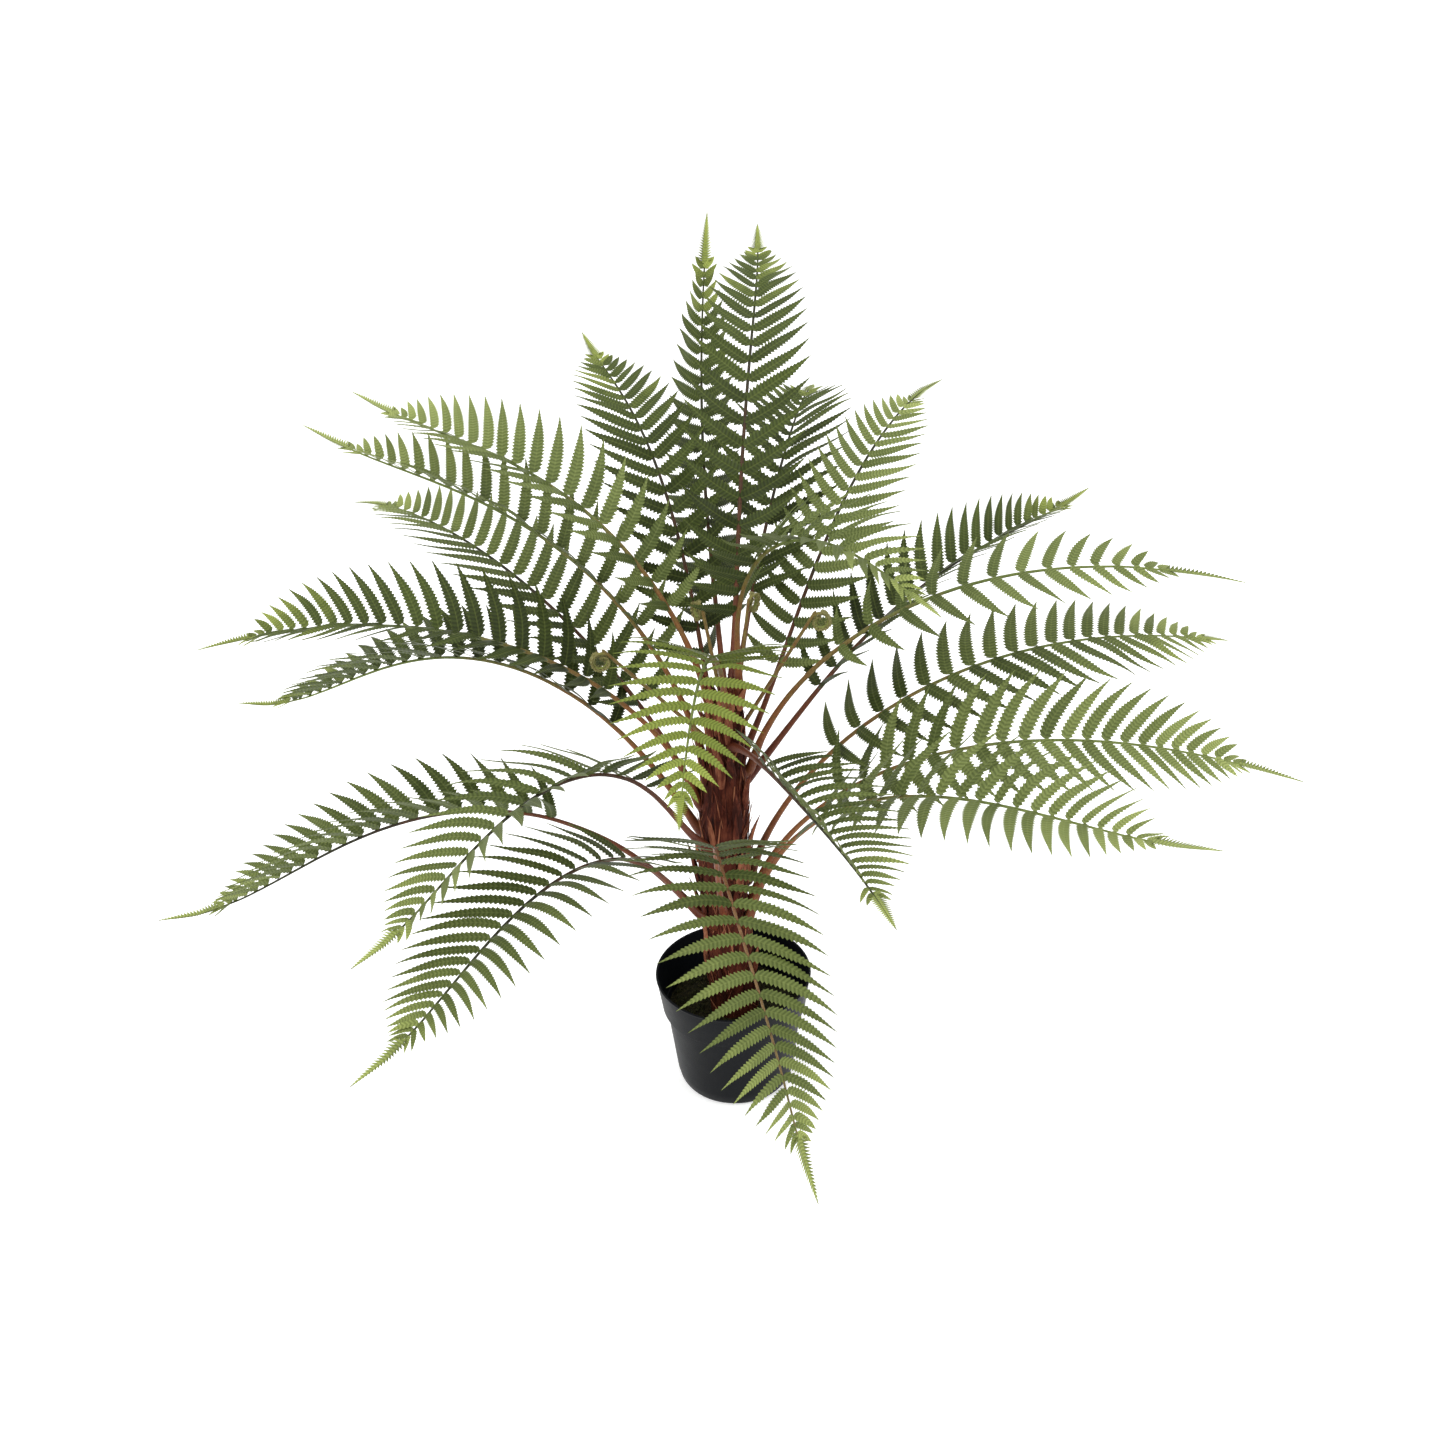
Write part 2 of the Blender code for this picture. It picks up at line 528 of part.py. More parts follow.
class Comb:
    """The leaflets of one frond as one closed solid: a narrow strip along the top of the stalk, with a
    thin-edged leaflet on each side at every station."""

    def __init__(self, owner: str, spine: Spine, room: Room) -> None:
        self.owner = owner
        self.spine = spine
        self.room = room
        self.verts: list[Vector] = []
        self.faces: list[tuple[int, ...]] = []

    def vert(self, place: Vector) -> int:
        self.verts.append(place)
        return len(self.verts) - 1

    def row(self, share: float, half: float) -> tuple[int, int, int, int]:
        """A row across the strip: left top, left bottom, right top, right bottom."""
        here = self.spine.at(share)
        low = here.place + here.up * (stalk_radius(share) * STALK_FLATTEN + SEAT)
        high = low + here.up * BLADE_THICKNESS
        return (
            self.vert(high + here.left * half),
            self.vert(low + here.left * half),
            self.vert(high - here.left * half),
            self.vert(low - here.left * half),
        )

    def aim(self, share: float, u: float, side: int, bend: float) -> tuple[Vector, Vector]:
        """The direction of a leaflet, and the direction in its plane that points back down the stalk."""
        frond = self.spine.frond
        here = self.spine.at(share)
        lift = math.radians(frond.lifts[0 if side > 0 else 1] + bend)
        splay = leaflet_splay(frond.splay + side * frond.skew, u)
        across = here.left * (side * math.cos(lift)) + here.up * math.sin(lift)
        ahead = here.ahead * math.cos(splay) + across * math.sin(splay)
        return ahead, -(here.ahead - ahead * here.ahead.dot(ahead)).normalized()

    def hangs_free(self, root: Vector, ahead: Vector, behind: Vector, length: float, pitch: float) -> bool:
        """Whether a leaflet, padded by the clearance on its faces, edges and tip, touches no other frond."""
        pad = ahead.cross(behind) * (BLADE_THICKNESS / 2 + CLEARANCE)
        half = pitch * LEAFLET_WIDTH * BULGE_OUT + CLEARANCE
        outline = (
            root + behind * half,
            root + ahead * (length * BULGE_AT) + behind * half,
            root + ahead * (length + CLEARANCE),
            root - behind * half,
        )
        verts = [point + pad for point in outline] + [point - pad for point in outline]
        faces = [(0, 1, 2, 3), (7, 6, 5, 4)] + [(i, (i + 1) % 4, (i + 1) % 4 + 4, i + 4) for i in range(4)]
        return self.room.is_free(self.owner, verts, faces)

    def leaflet(self, rows: tuple, share: float, pitch: float, u: float, side: int, scale: float) -> None:
        """One leaflet, with its root between two rows of the strip, bent until it hangs free."""
        here = self.spine.at(share)
        root = here.place + here.up * (stalk_radius(share) * STALK_FLATTEN + SEAT + BLADE_THICKNESS / 2)
        root = root + here.left * (side * half_strip(share))
        for kept, bend in product(KEPT, BENDS):
            length = leaflet_length(u, scale) * self.spine.frond.size * kept
            ahead, behind = self.aim(share, u, side, bend)
            if self.hangs_free(root, ahead, behind, length, pitch):
                break
        else:
            raise ValueError(f"{self.owner} has a leaflet with no free place")
        tip = self.vert(root + ahead * length)
        bulge = self.vert(root + ahead * (length * BULGE_AT) + behind * (pitch * LEAFLET_WIDTH * BULGE_OUT))
        rear, front = rows
        rear_top, rear_low = (rear[0], rear[1]) if side > 0 else (rear[2], rear[3])
        front_top, front_low = (front[0], front[1]) if side > 0 else (front[2], front[3])
        made = [
            (rear_top, tip, bulge),
            (rear_top, front_top, tip),
            (rear_low, bulge, tip),
            (rear_low, tip, front_low),
            (rear_top, bulge, rear_low),
            (front_top, front_low, tip),
        ]
        self.faces += made if side > 0 else [face[::-1] for face in made]

    def build(self) -> None:
        """Fill in the strip, its leaflets and its narrow tip."""
        frond = self.spine.frond
        scale = min(1.0, math.sqrt(self.spine.length * (1 - frond.bare) / (0.40 * FROND_SCALE))) * FROND_SCALE
        rows = []
        for k, middle in enumerate(self.spine.middles):
            begin, finish = self.spine.reach(k)
            rear = self.row(begin, half_strip(middle))
            front = self.row(finish, half_strip(middle))
            pitch = self.spine.pitches[k] * self.spine.length
            for side in (1, -1):
                self.leaflet((rear, front), middle, pitch, k / (frond.pairs - 1), side, scale)
            rows += [(rear, True), (front, False)]
        bounds = ((1.0 - 0.88 * frond.tip, TIP_HALF), (1.0 - STALK_END * frond.tip, 0.0045), (1.0, 0.0006))
        for share, half in bounds:
            rows.append((self.row(share, half * scale), False))
        for (rear, holds_leaflet), (front, _) in zip(rows, rows[1:]):
            self.faces += [
                (rear[0], rear[2], front[2], front[0]),
                (rear[1], front[1], front[3], rear[3]),
            ]
            if not holds_leaflet:
                self.faces += [
                    (rear[0], front[0], front[1], rear[1]),
                    (rear[2], rear[3], front[3], front[2]),
                ]
        first, last = rows[0][0], rows[-1][0]
        self.faces += [(first[0], first[1], first[3], first[2]), (last[0], last[2], last[3], last[1])]


def make_blade(name: str, owner: str, spine: Spine, room: Room) -> None:
    """The comb of leaflets of one frond, which the next ones then keep clear of."""
    comb = Comb(owner, spine, room)
    comb.build()
    add(name, comb.verts, comb.faces, "blade")
    room.fill(owner, comb.verts, comb.faces)


def make_crozier(name: str, crozier: Crozier) -> None:
    """A thin stalk that ends in a coil of a turn and a quarter."""
    radius = STALK_RADIUS * 0.62
    place = root_of(crozier.azimuth, crozier.root, crozier.slope, radius)
    heading = math.radians(crozier.azimuth)
    slope = math.radians(crozier.slope)
    stalk = crozier.stalk * FROND_SCALE
    rings = []
    steps = 6
    for k in range(steps):
        ahead, left, up = axes(slope, heading)
        rings.append(ring_at(place, left, up, radius * (1.0 - 0.25 * k / steps)))
        place = place + ahead * (stalk / steps)
    turns, pieces = 1.25, 15
    for k in range(pieces + 1):
        done = k / pieces
        ahead, left, up = axes(slope, heading)
        rings.append(ring_at(place, left, up, radius * (0.75 - 0.25 * done)))
        bend = COIL_RADIUS * (1.0 - 0.62 * done)
        turn = 2 * math.pi * turns / pieces
        place = place + ahead * (bend * turn)
        slope -= turn
    verts, faces = tube(rings)
    add(name, verts, faces, "crozier")


def ring_at(place: Vector, left: Vector, up: Vector, radius: float) -> list[Vector]:
    """Six points round a place."""
    points = []
    for i in range(STALK_SIDES):
        turn = 2 * math.pi * i / STALK_SIDES
        points.append(place + left * (radius * math.cos(turn)) + up * (radius * math.sin(turn)))
    return points


def main() -> None:
    """Build the whole plant."""
    for obj in list(bpy.data.objects):
        bpy.data.objects.remove(obj)
    make_pot()
    make_fill()
    make_trunk()
    for number, crozier in enumerate(CROZIERS, start=1):
        make_crozier(f"crozier_{number}", crozier)
    room = Room()
    for obj in bpy.data.objects:
        if obj.name.startswith("crozier"):
            room.take_in(obj)
    owners = [f"frond_{number:02d}" for number in range(1, len(FRONDS) + 1)]
    spines = [find_room(owner, frond, room) for owner, frond in zip(owners, FRONDS)]
    for name in ("pot", "moss", "trunk"):
        room.take_in(bpy.data.objects[name])
    for owner, spine in zip(owners, spines):
        make_stalk(f"{owner}_stalk", spine)
        make_blade(f"{owner}_blade", owner, spine, room)


main()
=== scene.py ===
"""The looks of a potted tree fern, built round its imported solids.

Every open frond is read back from its two solids. The rings of the stalk give the line that it follows,
and the comb gives the seat, width and reach of each leaflet. A toothed leaflet is modelled once in each
of a few lengths, and copied to those seats. All sizes are in metres, +Z is up, and the front faces -Y.
"""

import logging
import math
import random
from collections.abc import Callable, Iterable, Sequence
from dataclasses import dataclass, field
from enum import Enum

import bpy
import numpy as np
from mathutils import Matrix, Vector, noise
from mathutils.bvhtree import BVHTree


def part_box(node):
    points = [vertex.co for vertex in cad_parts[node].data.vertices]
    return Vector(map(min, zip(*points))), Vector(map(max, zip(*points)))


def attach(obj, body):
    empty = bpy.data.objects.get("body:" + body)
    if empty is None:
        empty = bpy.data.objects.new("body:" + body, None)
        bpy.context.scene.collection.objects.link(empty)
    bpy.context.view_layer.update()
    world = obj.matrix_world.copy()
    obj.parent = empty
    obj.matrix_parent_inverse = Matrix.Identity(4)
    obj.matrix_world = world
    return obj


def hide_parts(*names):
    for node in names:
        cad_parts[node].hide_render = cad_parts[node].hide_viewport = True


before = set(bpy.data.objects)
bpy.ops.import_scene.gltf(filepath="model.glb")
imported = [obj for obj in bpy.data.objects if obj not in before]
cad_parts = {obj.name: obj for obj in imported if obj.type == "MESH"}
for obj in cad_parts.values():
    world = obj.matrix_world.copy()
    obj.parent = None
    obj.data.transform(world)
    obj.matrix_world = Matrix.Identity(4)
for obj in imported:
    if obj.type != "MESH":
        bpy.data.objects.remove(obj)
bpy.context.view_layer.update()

log = logging.getLogger("fern")

BODY = "root"
FROND_COUNT = 22
CROZIER_COUNT = 4
RING_POINTS = 6  # corners of one ring of a stalk's solid
STEPS = 4  # stretches of a smooth line between one ring of a solid and the next
WELD = 1e-5

Colour = tuple[float, float, float, float]
Object = bpy.types.Object
Mesh = bpy.types.Mesh
Socket = bpy.types.NodeSocket


# ---------------------------------------------------------------------------------------------------
# Small tools
# ---------------------------------------------------------------------------------------------------


def colour(code: str) -> Colour:
    """Turn a screen colour into the linear one that a shader takes.

    Args:
        code: six hexadecimal digits, as in "5c6b3a".

    Returns:
        Red, green, blue and an alpha of 1.
    """
    channels = [int(code[i : i + 2], 16) / 255 for i in (0, 2, 4)]
    linear = [c / 12.92 if c <= 0.04045 else ((c + 0.055) / 1.055) ** 2.4 for c in channels]
    return (linear[0], linear[1], linear[2], 1.0)


def colours(codes: str) -> list[Colour]:
    """Turn several screen colours, with spaces between them, into linear ones."""
    return [colour(code) for code in codes.split()]


def along(table: Sequence[tuple[float, float]], x: float) -> float:
    """Read a table of (x, value) rows at x, straight between its rows.

    Args:
        table: rows in order of x.
        x: where to read; outside the table its end value holds.

    Returns:
        The value at x.
    """
    if x <= table[0][0]:
        return table[0][1]
    for (x0, y0), (x1, y1) in zip(table, table[1:]):
        if x <= x1:
            return y0 + (y1 - y0) * (x - x0) / (x1 - x0)
    return table[-1][1]


def deselect() -> None:
    """Leave edit mode, with nothing selected and nothing active."""
    if bpy.context.mode != "OBJECT":
        bpy.ops.object.mode_set(mode="OBJECT")
    bpy.ops.object.select_all(action="DESELECT")
    bpy.context.view_layer.objects.active = None


def activate(piece: Object) -> None:
    """Make one piece the only selected and active one."""
    deselect()
    piece.select_set(True)
    bpy.context.view_layer.objects.active = piece


def settled(name: str) -> Object:
    """Name the primitive that was just added, and put its place in its mesh."""
    piece = bpy.context.active_object
    piece.name = piece.data.name = name
    bpy.ops.object.transform_apply(location=True)
    return piece


def join(parts: Sequence[Object], name: str) -> Object:
    """Join objects into one named piece.

    Args:
        parts: the objects, of which the first keeps its data.
        name: the name of the joined piece.

    Returns:
        The joined piece.
    """
    deselect()
    for part in parts:
        part.select_set(True)
    bpy.context.view_layer.objects.active = parts[0]
    if len(parts) > 1:
        bpy.ops.object.join()
    parts[0].name = name
    parts[0].data.name = name
    return parts[0]


def in_scene(name: str, data: bpy.types.ID) -> Object:
    """Put an object with this data in the scene."""
    made = bpy.data.objects.new(name, data)
    bpy.context.scene.collection.objects.link(made)
    return made


def copy_of(master: Object) -> Object:
    """Copy a master with its own mesh, and put the copy in the scene."""
    return in_scene(master.name, master.data.copy())


def points_of(mesh: Mesh) -> np.ndarray:
    """The mesh's vertices as rows of x, y, z."""
    flat = np.empty(len(mesh.vertices) * 3, np.float32)
    mesh.vertices.foreach_get("co", flat)
    return flat.reshape(-1, 3).astype(float)


def set_points(mesh: Mesh, points: np.ndarray) -> None:
    """Move the mesh's vertices to rows of x, y, z."""
    mesh.vertices.foreach_set("co", points.astype(np.float32).ravel())
    mesh.update()


def set_attribute(mesh: Mesh, name: str, values: Iterable[float]) -> None:
    """Store one number for each vertex.

    Args:
        mesh: the mesh that takes the attribute.
        name: the attribute's name, which a material reads.
        values: a number for each vertex, in order.
    """
    attribute = mesh.attributes.get(name) or mesh.attributes.new(name, "FLOAT", "POINT")
    attribute.data.foreach_set("value", np.fromiter(values, np.float32))


def apply_modifier(piece: Object, kind: str, **settings: object) -> None:
    """Add a modifier to a piece and apply it.

    Args:
        piece: the piece to shape.
        kind: the modifier's type, such as "BEVEL".
        settings: its properties by name.
    """
    activate(piece)
    modifier = piece.modifiers.new(kind.title(), kind)
    for key, value in settings.items():
        setattr(modifier, key, value)
    bpy.ops.object.modifier_apply(modifier=modifier.name)


def edit(piece: Object, select: Callable[[Vector], bool] | None = None, mode: str = "VERT") -> None:
    """Enter edit mode on a piece, with chosen vertices selected.

    Args:
        piece: the piece to edit.
        select: a test of a vertex's place. With none, everything is selected.
        mode: what is selected, "VERT", "EDGE" or "FACE". An edge or a face needs all its vertices.
    """
    activate(piece)
    bpy.ops.object.mode_set(mode="EDIT")
    bpy.ops.mesh.select_mode(type=mode)
    if select is None:
        bpy.ops.mesh.select_all(action="SELECT")
        return
    bpy.ops.mesh.select_all(action="DESELECT")
    bpy.ops.object.mode_set(mode="OBJECT")
    mesh = piece.data
    chosen = [select(vertex.co) for vertex in mesh.vertices]
    for vertex, hit in zip(mesh.vertices, chosen):
        vertex.select = hit and mode == "VERT"
    for item in mesh.edges if mode == "EDGE" else mesh.polygons if mode == "FACE" else ():
        item.select = all(chosen[i] for i in item.vertices)
    bpy.ops.object.mode_set(mode="EDIT")


def close_edit() -> None:
    """Leave edit mode."""
    bpy.ops.object.mode_set(mode="OBJECT")


def cut_rings(piece: Object, rise: float, cuts: int) -> None:
    """Cut an upright cylinder into rings.

    Args:
        piece: the cylinder.
        rise: the edges that rise by more than this are cut.
        cuts: how many cuts each of them gets.
    """
    edit(piece, None, "EDGE")
    bpy.ops.mesh.select_all(action="DESELECT")
    close_edit()
    for edge in piece.data.edges:
        a, b = (piece.data.vertices[i].co for i in edge.vertices)
        edge.select = abs(a.z - b.z) > rise
    bpy.ops.object.mode_set(mode="EDIT")
    bpy.ops.mesh.subdivide_edgering(number_cuts=cuts, interpolation="LINEAR")
    close_edit()


def smooth(piece: Object, degrees: float) -> None:
    """Shade a piece smooth, with an edge where its faces meet at more than this angle."""
    activate(piece)
    bpy.ops.object.shade_smooth_by_angle(angle=math.radians(degrees))


def middle_of(places: Sequence[Vector]) -> Vector:
    """The mean of some places."""
    return sum(places, Vector()) / len(places)


def tube_along(name: str, places: Sequence[Vector], radii: Sequence[float], sides: int) -> Object:
    """Make a closed round tube along a line.

    Args:
        name: the new object's name.
        places: the centre line.
        radii: the tube's radius at each place.
        sides: how many sides the tube has, an even number of at least four.

    Returns:
        A mesh object, with the share of the line at each vertex in the attribute "along".
    """
    curve = bpy.data.curves.new(name, "CURVE")
    curve.dimensions = "3D"
    curve.twist_mode = "MINIMUM"
    curve.bevel_depth = 1.0
    curve.bevel_resolution = sides // 2 - 2
    curve.use_fill_caps = True
    spline = curve.splines.new("POLY")
    spline.points.add(len(places) - 1)
    for point, place, radius in zip(spline.points, places, radii):
        point.co = (*place, 1.0)
        point.radius = radius
    made = in_scene(name, curve)
    activate(made)
    bpy.ops.object.convert(target="MESH")
    edit(made)
    bpy.ops.mesh.remove_doubles(threshold=WELD / 10)
    close_edit()
    line = np.array([tuple(p) for p in places])
    nearest = [int(np.argmin(((line - p) ** 2).sum(1))) for p in points_of(made.data)]
    set_attribute(made.data, "along", (k / (len(places) - 1) for k in nearest))
    return made


def smooth_line(places: Sequence[Vector]) -> list[Vector]:
    """Run a smooth line through places.

    Args:
        places: what the line passes through.

    Returns:
        The places of the smooth line, the given ones among them.
    """
    ends = [places[0] * 2 - places[1], *places, places[-1] * 2 - places[-2]]
    line = []
    for p0, p1, p2, p3 in zip(ends, ends[1:], ends[2:], ends[3:]):
        square, cube = p0 * 2 - p1 * 5 + p2 * 4 - p3, p1 * 3 - p0 - p2 * 3 + p3
        for step in range(STEPS):
            t = step / STEPS
            line.append((p1 * 2 + (p2 - p0) * t + square * t**2 + cube * t**3) / 2)
    return [*line, places[-1].copy()]


def filled_in(values: Sequence[float]) -> list[float]:
    """Give each place of a smooth line a number, straight between those of the given places."""
    found = []
    for k in range((len(values) - 1) * STEPS + 1):
        low = min(k // STEPS, len(values) - 2)
        found.append(values[low] + (values[low + 1] - values[low]) * (k / STEPS - low))
    return found


# ---------------------------------------------------------------------------------------------------
# Finishes
# ---------------------------------------------------------------------------------------------------


class Nodes:
    """Short calls that add nodes to a material or a group."""

    def __init__(self, tree: bpy.types.NodeTree) -> None:
        """Work on one node tree."""
        self.tree = tree

    def feed(self, socket: Socket, source: object) -> None:
        """Give an input what feeds it: an output socket, or a fixed value."""
        if isinstance(source, Socket):
            self.tree.links.new(source, socket)
        else:
            socket.default_value = source

    def add(self, kind: str, *links: tuple[str | int, object], **settings: object) -> bpy.types.Node:
        """Add a node.

        Args:
            kind: the node's type without its "ShaderNode" prefix.
            links: pairs of an input and what feeds it.
            settings: the node's properties by name.

        Returns:
            The new node.
        """
        node = self.tree.nodes.new("ShaderNode" + kind)
        for key, value in settings.items():
            setattr(node, key, value)
        for socket, source in links:
            self.feed(node.inputs[socket], source)
        return node

    def math(self, operation: str, a: object, b: object = 0.0, clamp: bool = False) -> Socket:
        """Combine two numbers.

        Args:
            operation: such as "ADD" or "MULTIPLY".
            a: the first number or socket.
            b: the second number or socket.
            clamp: keep the result between 0 and 1.

        Returns:
            The socket with the result.
        """
        return self.add("Math", (0, a), (1, b), operation=operation, use_clamp=clamp).outputs[0]

    def swing(self, value: Socket, amount: object) -> Socket:
        """How far a pattern is above or below its middle, times an amount."""
        return self.math("MULTIPLY", self.math("SUBTRACT", value, 0.5), amount)

    def above(self, value: Socket, floor: float, gain: float) -> Socket:
        """How far a number is above a floor, times a gain, held between 0 and 1."""
        return self.math("MULTIPLY", self.math("SUBTRACT", value, floor, clamp=True), gain, clamp=True)

    def mix(self, factor: object, a: object, b: object, blend: str = "MIX") -> Socket:
        """Mix two colours.

        Args:
            factor: how much of the second shows.
            a: the first colour or socket.
            b: the second colour or socket.
            blend: the way that they are mixed.

        Returns:
            The socket with the mixed colour.
        """
        node = self.add("Mix", ("Factor", factor), (6, a), (7, b), data_type="RGBA", blend_type=blend)
        return node.outputs[2]

    def ramp(self, value: Socket, stops: Sequence[tuple[float, Colour]]) -> Socket:
        """Turn a number into a colour.

        Args:
            value: the socket with the number.
            stops: positions and their colours, in order.

        Returns:
            The socket with the colour.
        """
        node = self.add("ValToRGB", (0, value))
        bar = node.color_ramp.elements
        while len(bar) < len(stops):
            bar.new(0.5)
        for stop, (position, shade) in zip(bar, stops):
            stop.position = position
            stop.color = shade
        return node.outputs[0]

    def attribute(self, name: str) -> Socket:
        """The socket of a number that the mesh stores at its vertices."""
        return self.add("Attribute", attribute_name=name).outputs["Fac"]

    def pattern(self, name: str, place: Socket, **values: float) -> Socket:
        """Place a shared group.

        Args:
            name: the group's name.
            place: the coordinates that it reads.
            values: its other inputs by name.

        Returns:
            The socket with its result.
        """
        node = self.add("Group", node_tree=bpy.data.node_groups[name])
        for socket, source in (("Vector", place), *values.items()):
            self.feed(node.inputs[socket], source)
        return node.outputs[0]


def new_group(
    name: str, scale: float, extra: tuple[str, float], result: str
) -> tuple[Nodes, bpy.types.Node, Socket]:
    """Start a shared group, which reads coordinates, a scale and one number more.

    Args:
        name: the group's name.
        scale: what its scale is if nothing sets it.
        extra: the other input's name, and what it is if nothing sets it.
        result: the name of its output, which is a number.

    Returns:
        The group's nodes, its input node, and the socket that takes its result.
    """
    tree = bpy.data.node_groups.new(name, "ShaderNodeTree")
    tree.interface.new_socket("Vector", in_out="INPUT", socket_type="NodeSocketVector")
    for label, default in (("Scale", scale), extra):
        socket = tree.interface.new_socket(label, in_out="INPUT", socket_type="NodeSocketFloat")
        socket.default_value = default
    tree.interface.new_socket(result, in_out="OUTPUT", socket_type="NodeSocketFloat")
    return Nodes(tree), tree.nodes.new("NodeGroupInput"), tree.nodes.new("NodeGroupOutput").inputs[result]


def make_groups() -> None:
    """Make the groups that several finishes share: mottling, long streaks and fine grain."""
    nodes, into, result = new_group("Mottle", 40.0, ("Contrast", 1.0), "Value")
    where = [(label, into.outputs[label]) for label in ("Vector", "Scale")]
    large = nodes.add("TexNoise", *where, ("Detail", 4.0), ("Roughness", 0.6))
    spread = nodes.swing(large.outputs[0], into.outputs["Contrast"])
    nodes.feed(result, nodes.math("ADD", spread, 0.5, clamp=True))

    nodes, into, result = new_group("Streaks", 300.0, ("Stretch", 0.1), "Value")
    stretch = nodes.add("CombineXYZ", ("X", 1.0), ("Y", 1.0), ("Z", into.outputs["Stretch"]))
    pulled = nodes.add(
        "VectorMath", (0, into.outputs["Vector"]), (1, stretch.outputs[0]), operation="MULTIPLY"
    )
    where = [("Vector", pulled.outputs[0]), ("Scale", into.outputs["Scale"])]
    lines = nodes.add("TexNoise", *where, ("Detail", 5.0), ("Roughness", 0.65))
    nodes.feed(result, lines.outputs[0])

    nodes, into, result = new_group("Grain", 900.0, ("Depth", 1.0), "Height")
    where = [(label, into.outputs[label]) for label in ("Vector", "Scale")]
    cells = nodes.add("TexVoronoi", *where)
    fine = nodes.add("TexNoise", *where, ("Detail", 3.0))
    both = nodes.math("ADD", cells.outputs["Distance"], fine.outputs[0])
    nodes.feed(result, nodes.math("MULTIPLY", both, into.outputs["Depth"]))


def start_material(name: str) -> tuple[Nodes, bpy.types.Node, Socket]:
    """Start a material.

    Args:
        name: the material's name.

    Returns:
        Its nodes, its Principled shader, and the coordinates that its patterns read.
    """
    made = bpy.data.materials.new(name)
    made.use_nodes = True
    nodes = Nodes(made.node_tree)
    return nodes, made.node_tree.nodes["Principled BSDF"], nodes.add("TexCoord").outputs["Object"]


def paint(nodes: Nodes, shader: bpy.types.Node, skin: Socket, roughness: object, specular: float) -> None:
    """Give a shader its colour and its shine.

    Args:
        nodes: the material's nodes.
        shader: the Principled shader.
        skin: the socket with the colour.
        roughness: the roughness, as a socket or a fixed value.
        specular: the specular level.
    """
    nodes.feed(shader.inputs["Base Color"], skin)
    nodes.feed(shader.inputs["Roughness"], roughness)
    shader.inputs["Specular IOR Level"].default_value = specular


def bump(nodes: Nodes, shader: bpy.types.Node, height: Socket, strength: float, distance: float) -> None:
    """Drive a shader's normal from a height.

    Args:
        nodes: the material's nodes.
        shader: the Principled shader.
        height: the socket with the height.
        strength: the share of the effect.
        distance: how tall a height of 1 is.
    """
    made = nodes.add("Bump", ("Height", height), ("Strength", strength), ("Distance", distance))
    nodes.feed(shader.inputs["Normal"], made.outputs[0])


@dataclass(frozen=True)
class LeafFinish:
    """A leaflet's green, from the frond's foot to its tip, with ribs out to the teeth and painted shade in
    the grooves between them.

    The leaf's own map counts teeth along U, and V runs across it with 0.5 on the midrib.
    """

    name: str
    foot: Colour
    middle: Colour
    tip: Colour
    roughness: float = 0.50
    rib_depth: float = 0.00035
    patchy: float = 0.26  # how far a patch shifts the green
    varied: float = 0.17  # how far a leaflet's own tone shifts it
    rib_lean: float = 1.6  # how many teeth a rib runs forward in a whole width
    midrib_fall: float = 16.0
    groove_shade: Colour = colour("7f8a5c")  # the painted shade that darkens the green in the grooves between the ribs
    groove_shade_share: float = 0.55
    rim_from: float = 0.30  # how far off the midrib the paler rim starts
    rim_gain: float = 1.4
    midrib_share: float = 0.10
    specular: float = 0.15

    def build(self) -> None:
        """Make the material."""
        nodes, shader, place = start_material(self.name)
        leaf = nodes.add("SeparateXYZ", (0, nodes.add("UVMap", uv_map="Leaf").outputs[0]))
        patches = nodes.pattern("Mottle", place, Scale=45.0, Contrast=1.3)
        specks = nodes.pattern("Mottle", place, Scale=420.0, Contrast=1.0)

        # the green: darker at the foot, partly older green and partly painted shade inside the crown, lighter
        # towards the tip, uneven from leaflet to leaflet
        aged = nodes.math("ADD", nodes.attribute("age"), nodes.swing(patches, self.patchy))
        own = nodes.math("MULTIPLY", nodes.attribute("tone"), self.varied)
        toned = nodes.math("ADD", aged, own, clamp=True)
        green = nodes.ramp(toned, ((0.0, self.foot), (0.55, self.middle), (1.0, self.tip)))

        # ribs run forward from the midrib to each tooth, with painted shade in the grooves between them
        off_midrib = nodes.math("ABSOLUTE", nodes.math("SUBTRACT", leaf.outputs["Y"], 0.5))
        phase = nodes.math("SUBTRACT", leaf.outputs["X"], nodes.math("MULTIPLY", off_midrib, self.rib_lean))
        rib = nodes.math("MULTIPLY", nodes.math("SINE", nodes.math("MULTIPLY", phase, math.tau)), 0.5)
        midrib = nodes.math("SUBTRACT", 1.0, nodes.math("MULTIPLY", off_midrib, self.midrib_fall), clamp=True)
        # painted shade: the green darkens where the rib pattern dips, between the ribs
        groove_shade = nodes.math("MULTIPLY", nodes.math("SUBTRACT", 0.5, rib), self.groove_shade_share)
        shaded = nodes.mix(groove_shade, green, nodes.mix(1.0, green, self.groove_shade, "MULTIPLY"))
        edge = nodes.above(off_midrib, self.rim_from, self.rim_gain)
        rimmed = nodes.mix(edge, shaded, nodes.mix(0.5, self.tip, green))
        lined = nodes.mix(nodes.math("MULTIPLY", midrib, self.midrib_share), rimmed, self.tip)
        speckled = nodes.mix(nodes.swing(specks, -0.5), lined, self.foot)

        rough = nodes.math("ADD", nodes.math("MULTIPLY", specks, 0.22), self.roughness - 0.10)
        paint(nodes, shader, speckled, rough, self.specular)
        height = nodes.math("ADD", nodes.math("MULTIPLY", rib, 0.6), nodes.math("MULTIPLY", midrib, -0.8))
        grain = nodes.pattern("Grain", place, Scale=1500.0, Depth=0.12)
        bump(nodes, shader, nodes.math("ADD", height, grain), 0.9, self.rib_depth)


